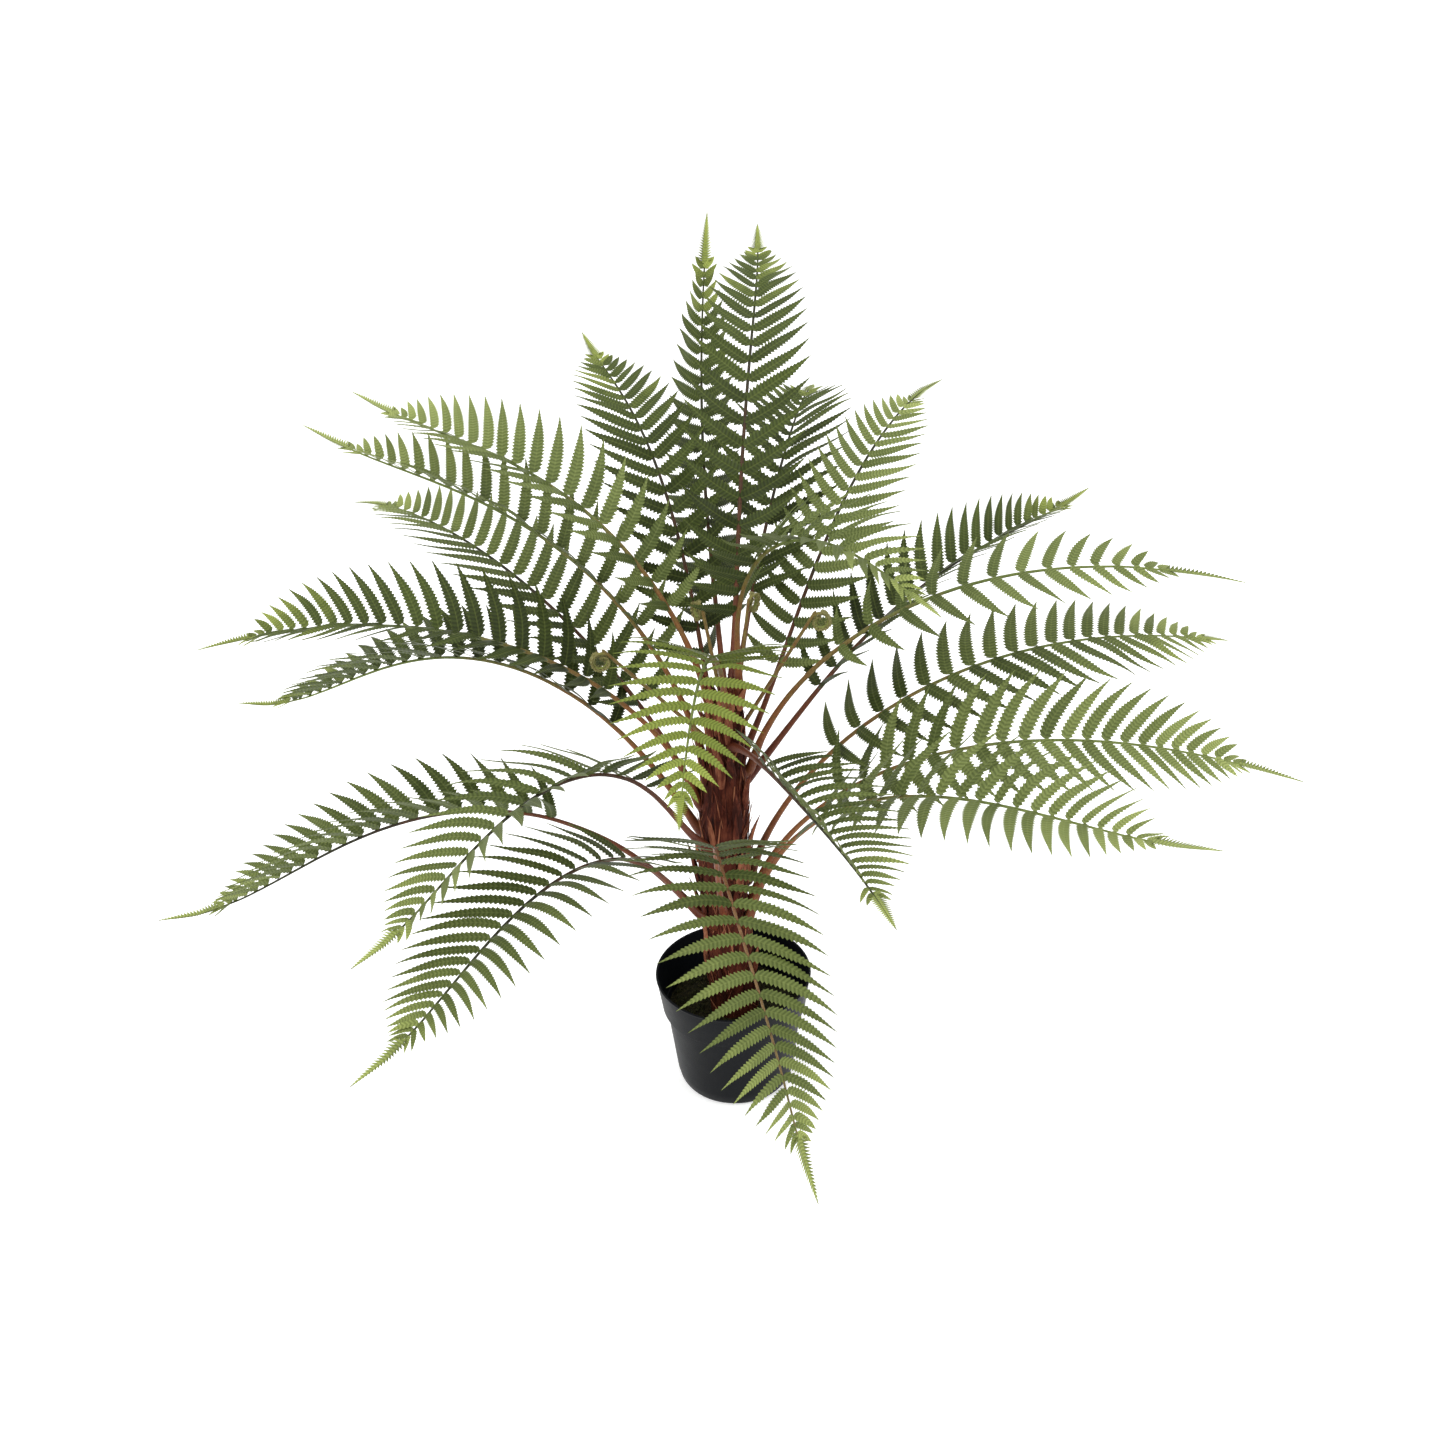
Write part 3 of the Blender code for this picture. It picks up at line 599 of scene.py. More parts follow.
@dataclass(frozen=True)
class StalkFinish:
    """A stalk's skin: red-brown and streaked at its foot, greener further out."""

    name: str
    foot: Colour
    bare: Colour
    middle: Colour
    tip: Colour
    patchy: float = 0.22  # how far a patch shifts the colour
    streak_depth: float = 0.0006
    specular: float = 0.2

    def build(self) -> None:
        """Make the material."""
        nodes, shader, place = start_material(self.name)
        patches = nodes.pattern("Mottle", place, Scale=90.0, Contrast=1.6)
        streaks = nodes.pattern("Streaks", place, Scale=700.0, Stretch=0.35)
        where = nodes.math("ADD", nodes.attribute("along"), nodes.swing(patches, self.patchy), clamp=True)
        skin = nodes.ramp(where, ((0.0, self.foot), (0.22, self.bare), (0.55, self.middle), (1.0, self.tip)))
        dark = nodes.mix(0.7, skin, self.foot, "MULTIPLY")
        streaked = nodes.mix(nodes.above(streaks, 0.42, 2.6), skin, dark)
        rough = nodes.math("ADD", nodes.math("MULTIPLY", streaks, 0.35), 0.30)
        paint(nodes, shader, streaked, rough, self.specular)
        bump(nodes, shader, streaks, 0.6, self.streak_depth)


@dataclass(frozen=True)
class FibreFinish:
    """Matted fibre: long streaks of several browns, with painted shade in the dark gaps between them. The
    bright brown on the raised streaks is partly paler fibre and partly painted highlight.
    """

    name: str
    gap: Colour
    body: Colour
    bright: Colour
    depth: float = 0.0022
    varied: bool = False  # read the tone that the mesh stores for each strand
    patchy: float = 0.45
    roughness: float = 0.85
    specular: float = 0.12

    def build(self) -> None:
        """Make the material."""
        nodes, shader, place = start_material(self.name)
        streaks = nodes.pattern("Streaks", place, Scale=260.0, Stretch=0.16)
        fine = nodes.pattern("Streaks", place, Scale=900.0, Stretch=0.10)
        patches = nodes.pattern("Mottle", place, Scale=32.0, Contrast=1.8)
        value = nodes.math("ADD", nodes.math("MULTIPLY", streaks, 0.9), nodes.math("MULTIPLY", fine, 0.35))
        value = nodes.math("ADD", value, nodes.swing(patches, self.patchy))
        if self.varied:
            value = nodes.math("ADD", value, nodes.math("MULTIPLY", nodes.attribute("tone"), 0.30))
        # painted shade and highlight: the gap brown fills the low streaks between strands, and the bright
        # brown, partly paler fibre, the raised ones
        skin = nodes.ramp(value, ((0.40, self.gap), (0.62, self.body), (0.95, self.bright)))
        paint(nodes, shader, skin, self.roughness, self.specular)
        bump(nodes, shader, nodes.math("ADD", streaks, nodes.math("MULTIPLY", fine, 0.5)), 0.9, self.depth)


@dataclass(frozen=True)
class MouldedFinish:
    """Thin black moulded plastic, with a fine grain, faint scuffs and a little dust on what faces up."""

    name: str
    skin: Colour
    dust: Colour
    roughness: float = 0.42
    grain_depth: float = 0.0002
    specular: float = 0.07

    def build(self) -> None:
        """Make the material."""
        nodes, shader, place = start_material(self.name)
        patches = nodes.pattern("Mottle", place, Scale=26.0, Contrast=1.4)
        scuffs = nodes.pattern("Streaks", place, Scale=160.0, Stretch=3.0)
        grain = nodes.pattern("Grain", place, Scale=1300.0, Depth=0.6)
        facing = nodes.add("SeparateXYZ", (0, nodes.add("NewGeometry").outputs["Normal"])).outputs["Z"]
        settled = nodes.math("MULTIPLY", nodes.math("SUBTRACT", facing, 0.35, clamp=True), patches)
        worn = nodes.above(scuffs, 0.56, 1.2)
        dusty, scuffed = nodes.math("MULTIPLY", settled, 0.5), nodes.math("MULTIPLY", worn, 0.35)
        skin = nodes.mix(nodes.math("ADD", dusty, scuffed, clamp=True), self.skin, self.dust)
        rough = nodes.math("ADD", nodes.math("MULTIPLY", patches, 0.16), self.roughness - 0.08)
        rough = nodes.math("ADD", rough, nodes.math("MULTIPLY", worn, 0.25), clamp=True)
        paint(nodes, shader, skin, rough, self.specular)
        bump(nodes, shader, grain, 0.35, self.grain_depth)


@dataclass(frozen=True)
class CrumbFinish:
    """Moss or soil: crumbs of several shades."""

    name: str
    dark: Colour
    body: Colour
    bright: Colour
    scale: float = 120.0
    depth: float = 0.0015
    roughness: float = 0.93
    specular: float = 0.2

    def build(self) -> None:
        """Make the material."""
        nodes, shader, place = start_material(self.name)
        patches = nodes.pattern("Mottle", place, Scale=self.scale, Contrast=2.0)
        grain = nodes.pattern("Grain", place, Scale=self.scale * 4, Depth=0.7)
        grained = nodes.math("MULTIPLY", nodes.math("SUBTRACT", grain, 0.6), 0.5)
        mixed = nodes.math("ADD", patches, grained, clamp=True)
        skin = nodes.ramp(mixed, ((0.2, self.dark), (0.55, self.body), (0.9, self.bright)))
        paint(nodes, shader, skin, self.roughness, self.specular)
        bump(nodes, shader, grain, 0.9, self.depth)


class Age(Enum):
    """How old a frond's green looks."""

    OLD = "old"
    GROWN = "grown"
    FRESH = "fresh"
    YOUNG = "young"


LEAF_FINISHES = {
    # the old fronds' dark foot green is partly older green and partly painted shade inside the crown
    Age.OLD: LeafFinish("leaf_old", *colours("29320f 4c5826 a0ab55")),
    Age.GROWN: LeafFinish("leaf_grown", *colours("364118 67723d a8b365")),
    Age.FRESH: LeafFinish("leaf_fresh", *colours("495428 79844b abb56e")),
    Age.YOUNG: LeafFinish("leaf_young", *colours("586422 758136 9ba74f")),
}
UNDERSIDE = {"roughness": 0.66, "rib_depth": 0.0002}
UNDER_FINISHES = {
    Age.OLD: LeafFinish("leaf_old_under", *colours("3f4929 5c673b 98a25e"), **UNDERSIDE),
    Age.GROWN: LeafFinish("leaf_grown_under", *colours("4a5532 6e7948 a2ac69"), **UNDERSIDE),
    Age.FRESH: LeafFinish("leaf_fresh_under", *colours("5d6838 838e51 a8b36a"), **UNDERSIDE),
    Age.YOUNG: LeafFinish("leaf_young_under", *colours("697540 848f50 a6b064"), **UNDERSIDE),
}


class Skin(Enum):
    """The colouring of a stalk."""

    RUSTY = "rusty"
    DARK = "dark"
    GREEN = "green"


STALK_FINISHES = {
    Skin.RUSTY: StalkFinish("stalk_rusty", *colours("52200f 7a4329 785638 6c6a3c")),
    Skin.DARK: StalkFinish("stalk_dark", *colours("4c1d10 6a3a24 2c2a1c 3e4525")),
    Skin.GREEN: StalkFinish("stalk_green", *colours("562312 7f4f2c 5d6a35 7c8a44")),
}

POT_FINISH = MouldedFinish("pot_plastic", *colours("0d0f12 1c1e21"))
SOIL_FINISH = CrumbFinish("soil_fill", *colours("17110c 2c2118 4a3a2a"))
MOSS_FINISH = CrumbFinish("moss_mat", *colours("100f06 221f0e 3a351a"), scale=260.0)
TUFT_FINISH = CrumbFinish("moss_tufts", *colours("101108 25270f 403f1f"), scale=420.0)
# in each fibre finish the first brown is painted shade in the gaps, and the last is partly paler fibre and
# partly painted highlight
TRUNK_FINISH = FibreFinish("trunk_fibre", *colours("1f0a06 431a10 6a3826"))
STRAND_FINISH = FibreFinish("trunk_strands", *colours("2c0f08 4f2215 8d5a40"), depth=0.0008, varied=True)
CROZIER_FINISH = StalkFinish("crozier_skin", *colours("6b4527 7c7440 87914a 98a05c"))
FUZZ_FINISH = CrumbFinish("crozier_fuzz", *colours("6f6238 969058 bcb883"), scale=700.0)
OTHER_FINISHES = (
    POT_FINISH, SOIL_FINISH, MOSS_FINISH, TUFT_FINISH, TRUNK_FINISH, STRAND_FINISH,
    CROZIER_FINISH, FUZZ_FINISH,
)


def dress(piece: Object, *names: str) -> None:
    """Give a piece its materials by name, in slot order."""
    piece.data.materials.clear()
    for name in names:
        piece.data.materials.append(bpy.data.materials[name])


def seat(piece: Object, nodes: Sequence[str] = ()) -> None:
    """Tie a finished piece to the frame.

    Args:
        piece: the piece, in place.
        nodes: the solids that it stands for.
    """
    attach(piece, BODY)
    if nodes:
        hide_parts(*nodes)
    log.info("%s: %d faces", piece.name, len(piece.data.polygons))


# ---------------------------------------------------------------------------------------------------
# Reading the solids back
# ---------------------------------------------------------------------------------------------------


class TrunkSkin:
    """The surface of the trunk's solid, for whatever grows on it."""

    def __init__(self) -> None:
        """Read the trunk's solid."""
        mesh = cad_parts["trunk"].data
        faces = [tuple(face.vertices) for face in mesh.polygons]
        self.tree = BVHTree.FromPolygons([vertex.co.copy() for vertex in mesh.vertices], faces)
        low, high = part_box("trunk")
        self.low, self.high = low.z, high.z
        self.middles: dict[int, Vector] = {}

    def gap(self, point: Vector) -> float:
        """How far a point is from the surface."""
        return self.tree.find_nearest(point)[3]

    def side(self, inside: Vector, way: Vector) -> Vector:
        """Where a level line from inside the trunk leaves it, or its start if it never does."""
        hit = self.tree.ray_cast(inside + way * 0.3, -way)[0]
        return inside if hit is None else hit

    def axis(self, height: float) -> Vector:
        """The middle of the trunk at a height, to the nearest millimetre."""
        key = round(min(self.high - 0.001, max(self.low + 0.001, height)) * 1000)
        if key not in self.middles:
            level = Vector((0.0, 0.0, key / 1000))
            ends = [self.side(level, Vector(way)) for way in ((1, 0, 0), (0, 1, 0), (-1, 0, 0), (0, -1, 0))]
            self.middles[key] = middle_of(ends)
        return self.middles[key]


class Solid:
    """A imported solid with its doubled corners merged, and each corner's neighbours."""

    def __init__(self, node: str) -> None:
        """Read one node of the frame."""
        self.places: list[Vector] = []
        self.near: list[set[int]] = []
        known: dict[tuple[int, ...], int] = {}
        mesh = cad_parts[node].data
        merged = []
        for vertex in mesh.vertices:
            key = tuple(round(c / WELD) for c in vertex.co)
            if key not in known:
                known[key] = len(self.places)
                self.places.append(vertex.co.copy())
                self.near.append(set())
            merged.append(known[key])
        for face in mesh.polygons:
            corners = [merged[i] for i in face.vertices]
            for a, b in zip(corners, corners[1:] + corners[:1]):
                if a != b:
                    self.near[a].add(b)
                    self.near[b].add(a)

    def rings(self, trunk: TrunkSkin) -> list[list[Vector]]:
        """Read a stalk ring by ring, from the end at the trunk.

        Args:
            trunk: what the stalk grows from.

        Returns:
            The corners of each ring.
        """
        ring = set(sorted(range(len(self.places)), key=lambda i: trunk.gap(self.places[i]))[:RING_POINTS])
        seen = set(ring)
        found = [ring]
        while ring:
            ring = {j for i in ring for j in self.near[i]} - seen
            seen |= ring
            if ring:
                found.append(ring)
        return [[self.places[i] for i in sorted(one)] for one in found]


@dataclass
class Station:
    """A place on a stalk with its own axes and size."""

    place: Vector
    left: Vector
    up: Vector
    wide: float
    deep: float


class StalkLine:
    """The line of one stalk, with its axes, read from its solid and carried on to the frond's tip."""

    FLATNESS = 0.8  # a stalk's depth as a share of its width
    THINNING = 0.3  # its size at the frond's tip as a share of that at its own end

    def __init__(self, node: str, trunk: TrunkSkin, tip: Vector | None) -> None:
        """Read a stalk.

        Args:
            node: the stalk's solid.
            trunk: what the stalk grows from.
            tip: where the frond ends beyond the stalk, or None where the stalk's own end is the end.
        """
        rings = Solid(node).rings(trunk)
        centres = [middle_of(ring) for ring in rings]
        lefts, widths, depths = [], [], []
        for ring in rings:
            pairs = [(a - b) for i, a in enumerate(ring) for b in ring[i + 1 :]]
            widest = max(pairs, key=lambda gap: gap.length)
            lefts.append(widest.normalized())
            widths.append(widest.length / 2)
            depths.append(widest.length / 2 * self.FLATNESS)
        if tip is not None:
            centres.append(tip)
            lefts.append(lefts[-1])
            widths.append(widths[-1] * self.THINNING)
            depths.append(depths[-1] * self.THINNING)
        aheads = [(b - a).normalized() for a, b in zip(centres, centres[1:])]
        aheads.append(aheads[-1])
        if aheads[-1].cross(lefts[-1]).z < 0:
            lefts[-1] = -lefts[-1]
        for i in range(len(lefts) - 2, -1, -1):
            if lefts[i].dot(lefts[i + 1]) < 0:
                lefts[i] = -lefts[i]
        self.stations = [
            Station(c, left, ahead.cross(left).normalized(), wide, deep)
            for c, left, ahead, wide, deep in zip(centres, lefts, aheads, widths, depths)
        ]
        steps = [0.0]
        for a, b in zip(centres, centres[1:]):
            steps.append(steps[-1] + (b - a).length)
        self.runs = steps
        self.length = steps[-1]

    def at(self, run: float) -> Station:
        """The station at a distance from the foot."""
        k = 0
        while k < len(self.runs) - 2 and run > self.runs[k + 1]:
            k += 1
        share = (run - self.runs[k]) / (self.runs[k + 1] - self.runs[k])
        a, b = self.stations[k], self.stations[k + 1]
        return Station(
            a.place.lerp(b.place, share),
            a.left.lerp(b.left, share).normalized(),
            a.up.lerp(b.up, share).normalized(),
            a.wide + (b.wide - a.wide) * share,
            a.deep + (b.deep - a.deep) * share,
        )

    def run_of(self, point: Vector) -> float:
        """How far along the line is nearest to a point."""
        best, found = math.inf, 0.0
        for k, (a, b) in enumerate(zip(self.stations, self.stations[1:])):
            step = b.place - a.place
            share = min(1.0, max(0.0, (point - a.place).dot(step) / step.length_squared))
            gap = (a.place + step * share - point).length
            if gap < best:
                best, found = gap, self.runs[k] + step.length * share
        return found


@dataclass(frozen=True)
class LeafletSeat:
    """Where a leaflet grows: its root, the front of its base, its tip, and how far along the stalk it is."""

    root: Vector
    base: Vector
    tip: Vector
    run: float
    up: Vector
    width: float


def read_comb(node: str) -> tuple[list[tuple[Vector, Vector, Vector]], Solid]:
    """Read the leaflets of a comb. A leaflet's rear bulge is the only corner with three neighbours: its
    tip, which is the farthest of them, and the two corners of its base's rear.

    Args:
        node: the comb's solid.

    Returns:
        Root, base and tip of each leaflet, and the comb itself.
    """
    comb = Solid(node)
    found = []
    for bulge, near in enumerate(comb.near):
        if len(near) != 3:
            continue
        tip = max(near, key=lambda i: (comb.places[i] - comb.places[bulge]).length)
        rear = near - {tip}
        front = comb.near[tip] - rear - {bulge}
        if len(front) != 2:
            continue
        rear_place, front_place = (middle_of([comb.places[i] for i in pair]) for pair in (rear, front))
        found.append(((rear_place + front_place) / 2, front_place - rear_place, comb.places[tip]))
    return found, comb


# ---------------------------------------------------------------------------------------------------
# Leaflets
# ---------------------------------------------------------------------------------------------------


@dataclass
class LeafletMaster:
    """One toothed leaflet, a unit long and at most a unit wide, from which the others are copied.

    Its X runs from root to tip, +Y is the side that faces the frond's tip, and Z counts thicknesses.
    """

    name: str
    teeth: int
    outline: tuple[tuple[float, float], ...]
    tooth: float = 0.34  # depth of a tooth as a share of the half width
    lean: float = 0.22  # how far a tooth points forward, as a share of its pitch
    neck: float = 0.025  # share of the length taken by the narrow neck
    piece: Object = field(init=False)

    def build(self) -> None:
        """Model the leaflet."""
        deselect()
        bpy.ops.mesh.primitive_grid_add(
            x_subdivisions=self.teeth, y_subdivisions=2, size=1.0, location=(0.5, 0, 0)
        )
        self.piece = settled(self.name)
        pitch = 1.0 / self.teeth

        # one more corner in the middle of each stretch of the margin, for the tooth's point
        edit(self.piece, lambda co: abs(co.y) > 0.25, "EDGE")
        bpy.ops.mesh.subdivide(number_cuts=1, ngon=True)
        close_edit()
        mesh = self.piece.data
        for vertex in mesh.vertices:
            x, y = vertex.co.x, vertex.co.y
            column = x / pitch
            is_point = abs(column - round(column)) > 0.25
            share = self.spaced(column + self.lean if is_point else column)
            reach = 1.0 if is_point else 1.0 - self.tooth
            half = 0.0 if abs(y) < 0.25 else along(self.outline, share) * reach
            vertex.co = (share, math.copysign(half, y), 0.0)

        # the underside: the same sheet turned over, thicker along the midrib, joined at the margin
        top = len(mesh.vertices)
        edit(self.piece)
        bpy.ops.mesh.duplicate()
        bpy.ops.mesh.flip_normals()
        close_edit()
        for vertex in mesh.vertices[top:]:
            inside = self.neck / 2 < vertex.co.x < 0.999 and abs(vertex.co.y) < 1e-6
            vertex.co.z = -1.0 if inside else 0.0
        for face in mesh.polygons:
            face.material_index = int(all(i >= top for i in face.vertices))
        edit(self.piece)
        bpy.ops.mesh.remove_doubles(threshold=WELD)
        close_edit()
        self.map()
        smooth(self.piece, 60.0)
        self.piece.hide_render = self.piece.hide_viewport = True

    def spaced(self, column: float) -> float:
        """The share of the length at a column: the neck, and then even teeth."""
        if column <= 1.0:
            return self.neck * column
        return self.neck + (1.0 - self.neck) * (column - 1.0) / (self.teeth - 1.0)

    def map(self) -> None:
        """Store a map that counts teeth along U, with the midrib at V = 0.5."""
        mesh = self.piece.data
        layer = mesh.uv_layers.active or mesh.uv_layers.new()
        layer.name = "Leaf"
        for loop in mesh.loops:
            co = mesh.vertices[loop.vertex_index].co
            layer.data[loop.index].uv = (co.x * (self.teeth - 1.0), co.y + 0.5)


# half the width at shares of the length
LEAFLET_OUTLINE = (
    (0.0, 0.16), (0.02, 0.38), (0.07, 0.47), (0.18, 0.50), (0.38, 0.47),
    (0.54, 0.39), (0.68, 0.28), (0.80, 0.16), (0.91, 0.07), (1.0, 0.0),
)
SHORT_OUTLINE = (
    (0.0, 0.16), (0.03, 0.42), (0.12, 0.50), (0.50, 0.42), (0.75, 0.25), (0.90, 0.10), (1.0, 0.0),
)
TIP_OUTLINE = ((0.0, 0.44), (0.10, 0.50), (0.45, 0.36), (0.80, 0.18), (1.0, 0.03))


class Leaflets:
    """The leaflets of every size, and the frond's tip, each modelled once."""

    THICKNESS = 0.0007
    SWEEP = (0.03, 0.07)  # how far a leaflet curves back, as a share of its length
    HUMP = (0.015, 0.06)  # how far it arches
    CURL = (-0.02, 0.05)  # how far its end curls
    FOLD = (3.0, 12.0)  # how far each half rises from the midrib, in degrees
    TILT, TWIST = 5.0, 11.0  # the spread of its turn at the root and of its twist, in degrees
    CUP = 0.35  # how much the fold eases towards the margin

    def __init__(self) -> None:
        """Model the masters, longest first, each with the least length that it serves."""
        self.masters = (
            (0.058, LeafletMaster("leaflet_long", 21, LEAFLET_OUTLINE)),
            (0.034, LeafletMaster("leaflet_middle", 15, LEAFLET_OUTLINE)),
            (0.0, LeafletMaster("leaflet_short", 9, SHORT_OUTLINE, 0.22)),
        )
        self.tip = LeafletMaster("frond_tip", 20, TIP_OUTLINE, 0.70, 0.85, 0.05)
        for master in self.every():
            master.build()

    def every(self) -> list[LeafletMaster]:
        """All the masters."""
        return [*(master for _, master in self.masters), self.tip]

    def clear(self) -> None:
        """Remove the masters."""
        for master in self.every():
            bpy.data.objects.remove(master.piece)

    def grow(self, seat_: LeafletSeat, age: float, tone: float, dice: random.Random) -> Object:
        """Copy the right master to a seat and bend it to grow there.

        Args:
            seat_: where the leaflet goes.
            age: 0 at the frond's foot and 1 at its tip.
            tone: how much lighter than its neighbours it is, from -1 to 1.
            dice: what varies the leaflet.

        Returns:
            The new leaflet.
        """
        reach = seat_.tip - seat_.root
        length = reach.length
        master = next(m for least, m in self.masters if length >= least)
        made = copy_of(master.piece)
        ahead = reach / length
        front = (seat_.base - ahead * seat_.base.dot(ahead)).normalized()
        normal = ahead.cross(front)
        if normal.dot(seat_.up) < 0:
            normal = -normal
        rows = points_of(made.data)
        s, y, z = rows[:, 0], rows[:, 1] * seat_.width, rows[:, 2] * self.THICKNESS
        bend = 4.0 * s * (1.0 - s)
        sweep = dice.uniform(*self.SWEEP) * length
        hump = dice.uniform(*self.HUMP) * length
        fold = math.radians(dice.uniform(*self.FOLD))
        turn = math.radians(dice.gauss(0.0, self.TILT)) + math.radians(dice.gauss(0.0, self.TWIST)) * s
        curl = dice.uniform(*self.CURL) * length * np.sin(math.tau * s) * 0.5
        raised = np.abs(y) * math.tan(fold) - self.CUP * y * y / seat_.width
        across = y * np.cos(turn) - raised * np.sin(turn) - sweep * bend * (1.0 - self.CUP * s)
        above = y * np.sin(turn) + raised * np.cos(turn) + z + hump * bend + curl
        moved = np.outer(s * length, ahead) + np.outer(across, front) + np.outer(above, normal)
        set_points(made.data, np.array(seat_.root) + moved)
        if ahead.cross(front).dot(normal) < 0:
            made.data.flip_normals()
        # lighter towards the leaflet's end and darker at its base: partly older green, partly painted shade
        set_attribute(made.data, "age", np.clip(age + 0.20 * s - 0.05, 0.0, 1.0))
        set_attribute(made.data, "tone", [tone] * len(rows))
        return made


# ---------------------------------------------------------------------------------------------------
# Fronds
# ---------------------------------------------------------------------------------------------------


@dataclass
class Frond:
    """An open frond: its stalk, its leaflets and its fine toothed tip."""

    number: int
    age: Age
    skin: Skin
    leaflets: Leaflets
    trunk: TrunkSkin
    fullness: float = 1.22  # how much wider a leaflet is than its base in the comb
    slim_width: float = 0.0065  # no leaflet is wider than this and a share of its length
    slim_share: float = 0.135
    tip_width: float = 0.0095  # half the width of the toothed tip at its start
    small_pairs: int = 2  # pairs between the comb's last pair and the tip
    foot_sink: float = 0.007  # how far the stalk runs on into the trunk
    foot_flare: float = 1.90  # the foot's width as a share of the stalk's
    least_radius: float = 0.00035
    root_inset: float = 0.55  # how far into the stalk a leaflet is rooted, as a share of half its width
    pitch_share: float = 1.25  # the step from pair to pair, in widths of a base
    small_pitch: float = 0.90  # the step between the small pairs, in steps
    small_shrink: float = 0.82  # each small pair's length as a share of the one before
    small_splay: float = 46.0  # their angle from the stalk, in degrees, less the next value for each pair
    small_closing: float = 4.0
    small_base: float = 0.66  # their base, in steps
    small_width: float = 1.15  # their width, in bases
    pair_gap: float = 0.002  # two leaflets rooted closer than this along the stalk are a pair
    tip_gap: float = 0.45  # from the last small pair to the tip, in steps
    tip_share: float = 0.80  # the most that the tip's half width may be, in lengths of the last leaflets
    tip_rise: float = 0.5  # how far the tip's margins rise, as a share of half its width
    dice: random.Random = field(init=False)
    line: StalkLine = field(init=False)
    seats: list[LeafletSeat] = field(init=False)
    tip_from: float = field(init=False)

    def build(self) -> None:
        """Read the frond's solids, then build and dress its two pieces."""
        name = f"frond_{self.number:02d}"
        self.dice = random.Random(self.number * 101)
        found, comb = read_comb(f"{name}_blade")
        rough_line = StalkLine(f"{name}_stalk", self.trunk, None)
        last = rough_line.stations[-1]
        ahead = (last.place - rough_line.stations[-2].place).normalized()
        far = max(comb.places, key=lambda p: (p - last.place).dot(ahead))
        self.line = StalkLine(f"{name}_stalk", self.trunk, far - last.up * last.deep)
        seats = [self.seat_on_line(*one) for one in found]
        self.seats = sorted(seats, key=lambda one: (round(one.run, 4), one.tip.x))
        self.build_stalk(name)
        self.build_blade(name)

    def seat_on_line(self, root: Vector, base: Vector, tip: Vector) -> LeafletSeat:
        """Move a leaflet's root in from the edge of the comb to the stalk's line.

        Args:
            root: the middle of the leaflet's base in the comb.
            base: the base from its rear to its front.
            tip: the leaflet's end.

        Returns:
            The seat on the stalk.
        """
        run = self.line.run_of(root)
        here = self.line.at(run)
        side = (root - here.place).dot(here.left)
        inset = here.left * (side - math.copysign(here.wide * self.root_inset, side))
        slim = self.slim_width + self.slim_share * (tip - root).length
        width = min(base.length * self.fullness, slim)
        return LeafletSeat(root - inset, base, tip, run, here.up, width)

    def build_stalk(self, name: str) -> None:
        """Make the stalk, which tapers from a flared foot inside the trunk.

        Args:
            name: the frond's name.
        """
        stations = self.line.stations
        foot, after = stations[0], stations[1]
        inward = (foot.place - after.place).normalized()
        axis = Vector((foot.place.x, foot.place.y, 0.0)).normalized()
        sunk = foot.place + (inward * 0.4 - axis * 0.6).normalized() * self.foot_sink
        places = smooth_line([sunk, *(one.place for one in stations)])
        more = self.foot_flare - 1.0
        widths = [foot.wide * self.foot_flare]
        widths += [one.wide * (1.0 + more * 0.5 ** (k + 0.5)) for k, one in enumerate(stations)]
        radii = []
        for k, width in enumerate(filled_in(widths)):
            rough = 0.94 + 0.05 * noise.noise(Vector((k * 0.9, self.number, 0.0)))
            radii.append(max(self.least_radius, width * rough))
        stalk = tube_along(f"{name}_rachis", places, radii, 8)
        smooth(stalk, 60.0)
        dress(stalk, STALK_FINISHES[self.skin].name)
        seat(stalk, [f"{name}_stalk"])

    def build_blade(self, name: str) -> None:
        """Make the leaflets and the tip, and join them into one piece.

        Args:
            name: the frond's name.
        """
        parts = []
        for one in self.seats:
            age = self.age_at(self.share(one.run))
            parts.append(self.leaflets.grow(one, age, self.dice.uniform(-1.0, 1.0), self.dice))
        parts += self.small_leaflets()
        parts.append(self.tip())
        blade = join(parts, f"{name}_leaflets")
        top, under = LEAF_FINISHES[self.age], UNDER_FINISHES[self.age]
        dress(blade, top.name, under.name)
        seat(blade, [f"{name}_blade"])

    def age_at(self, share: float) -> float:
        """How light the green is: slowly lighter at first, and fast near the tip."""
        return 0.10 + 0.42 * share + 0.48 * share**4

    def small_leaflets(self) -> list[Object]:
        """Make the last few pairs, which shrink into the tip.

        Returns:
            The small leaflets.
        """
        last = [one for one in self.seats if one.run > self.seats[-1].run - self.pair_gap]
        pitch = last[0].base.length * self.pitch_share
        parts = []
        for one in last:
            side = 1.0 if (one.tip - one.root).dot(self.line.at(one.run).left) > 0 else -1.0
            reach = (one.tip - one.root).length
            for k in range(1, self.small_pairs + 1):
                run = one.run + pitch * k * self.small_pitch
                there = self.line.at(run)
                forward = there.left.cross(there.up).normalized()
                splay = math.radians(self.small_splay - self.small_closing * k)
                root = there.place + there.up * there.deep * 0.5
                way = forward * math.cos(splay) + there.left * (side * math.sin(splay))
                end = root + way * (reach * self.small_shrink**k)
                base = forward * (pitch * self.small_base)
                small = LeafletSeat(root, base, end, run, there.up, base.length * self.small_width)
                tone = self.dice.uniform(-1, 1)
                parts.append(self.leaflets.grow(small, self.age_at(self.share(run)), tone, self.dice))
        self.tip_from = last[0].run + pitch * (self.small_pairs * self.small_pitch + self.tip_gap)
        widest = reach * self.small_shrink**self.small_pairs * self.tip_share
        self.tip_width = min(self.tip_width, widest)
        return parts

    def share(self, run: float) -> float:
        """How far a place on the line is from the first leaflets to the frond's end, from 0 to 1."""
        return min(1.0, max(0.0, (run - self.seats[0].run) / (self.line.length - self.seats[0].run)))

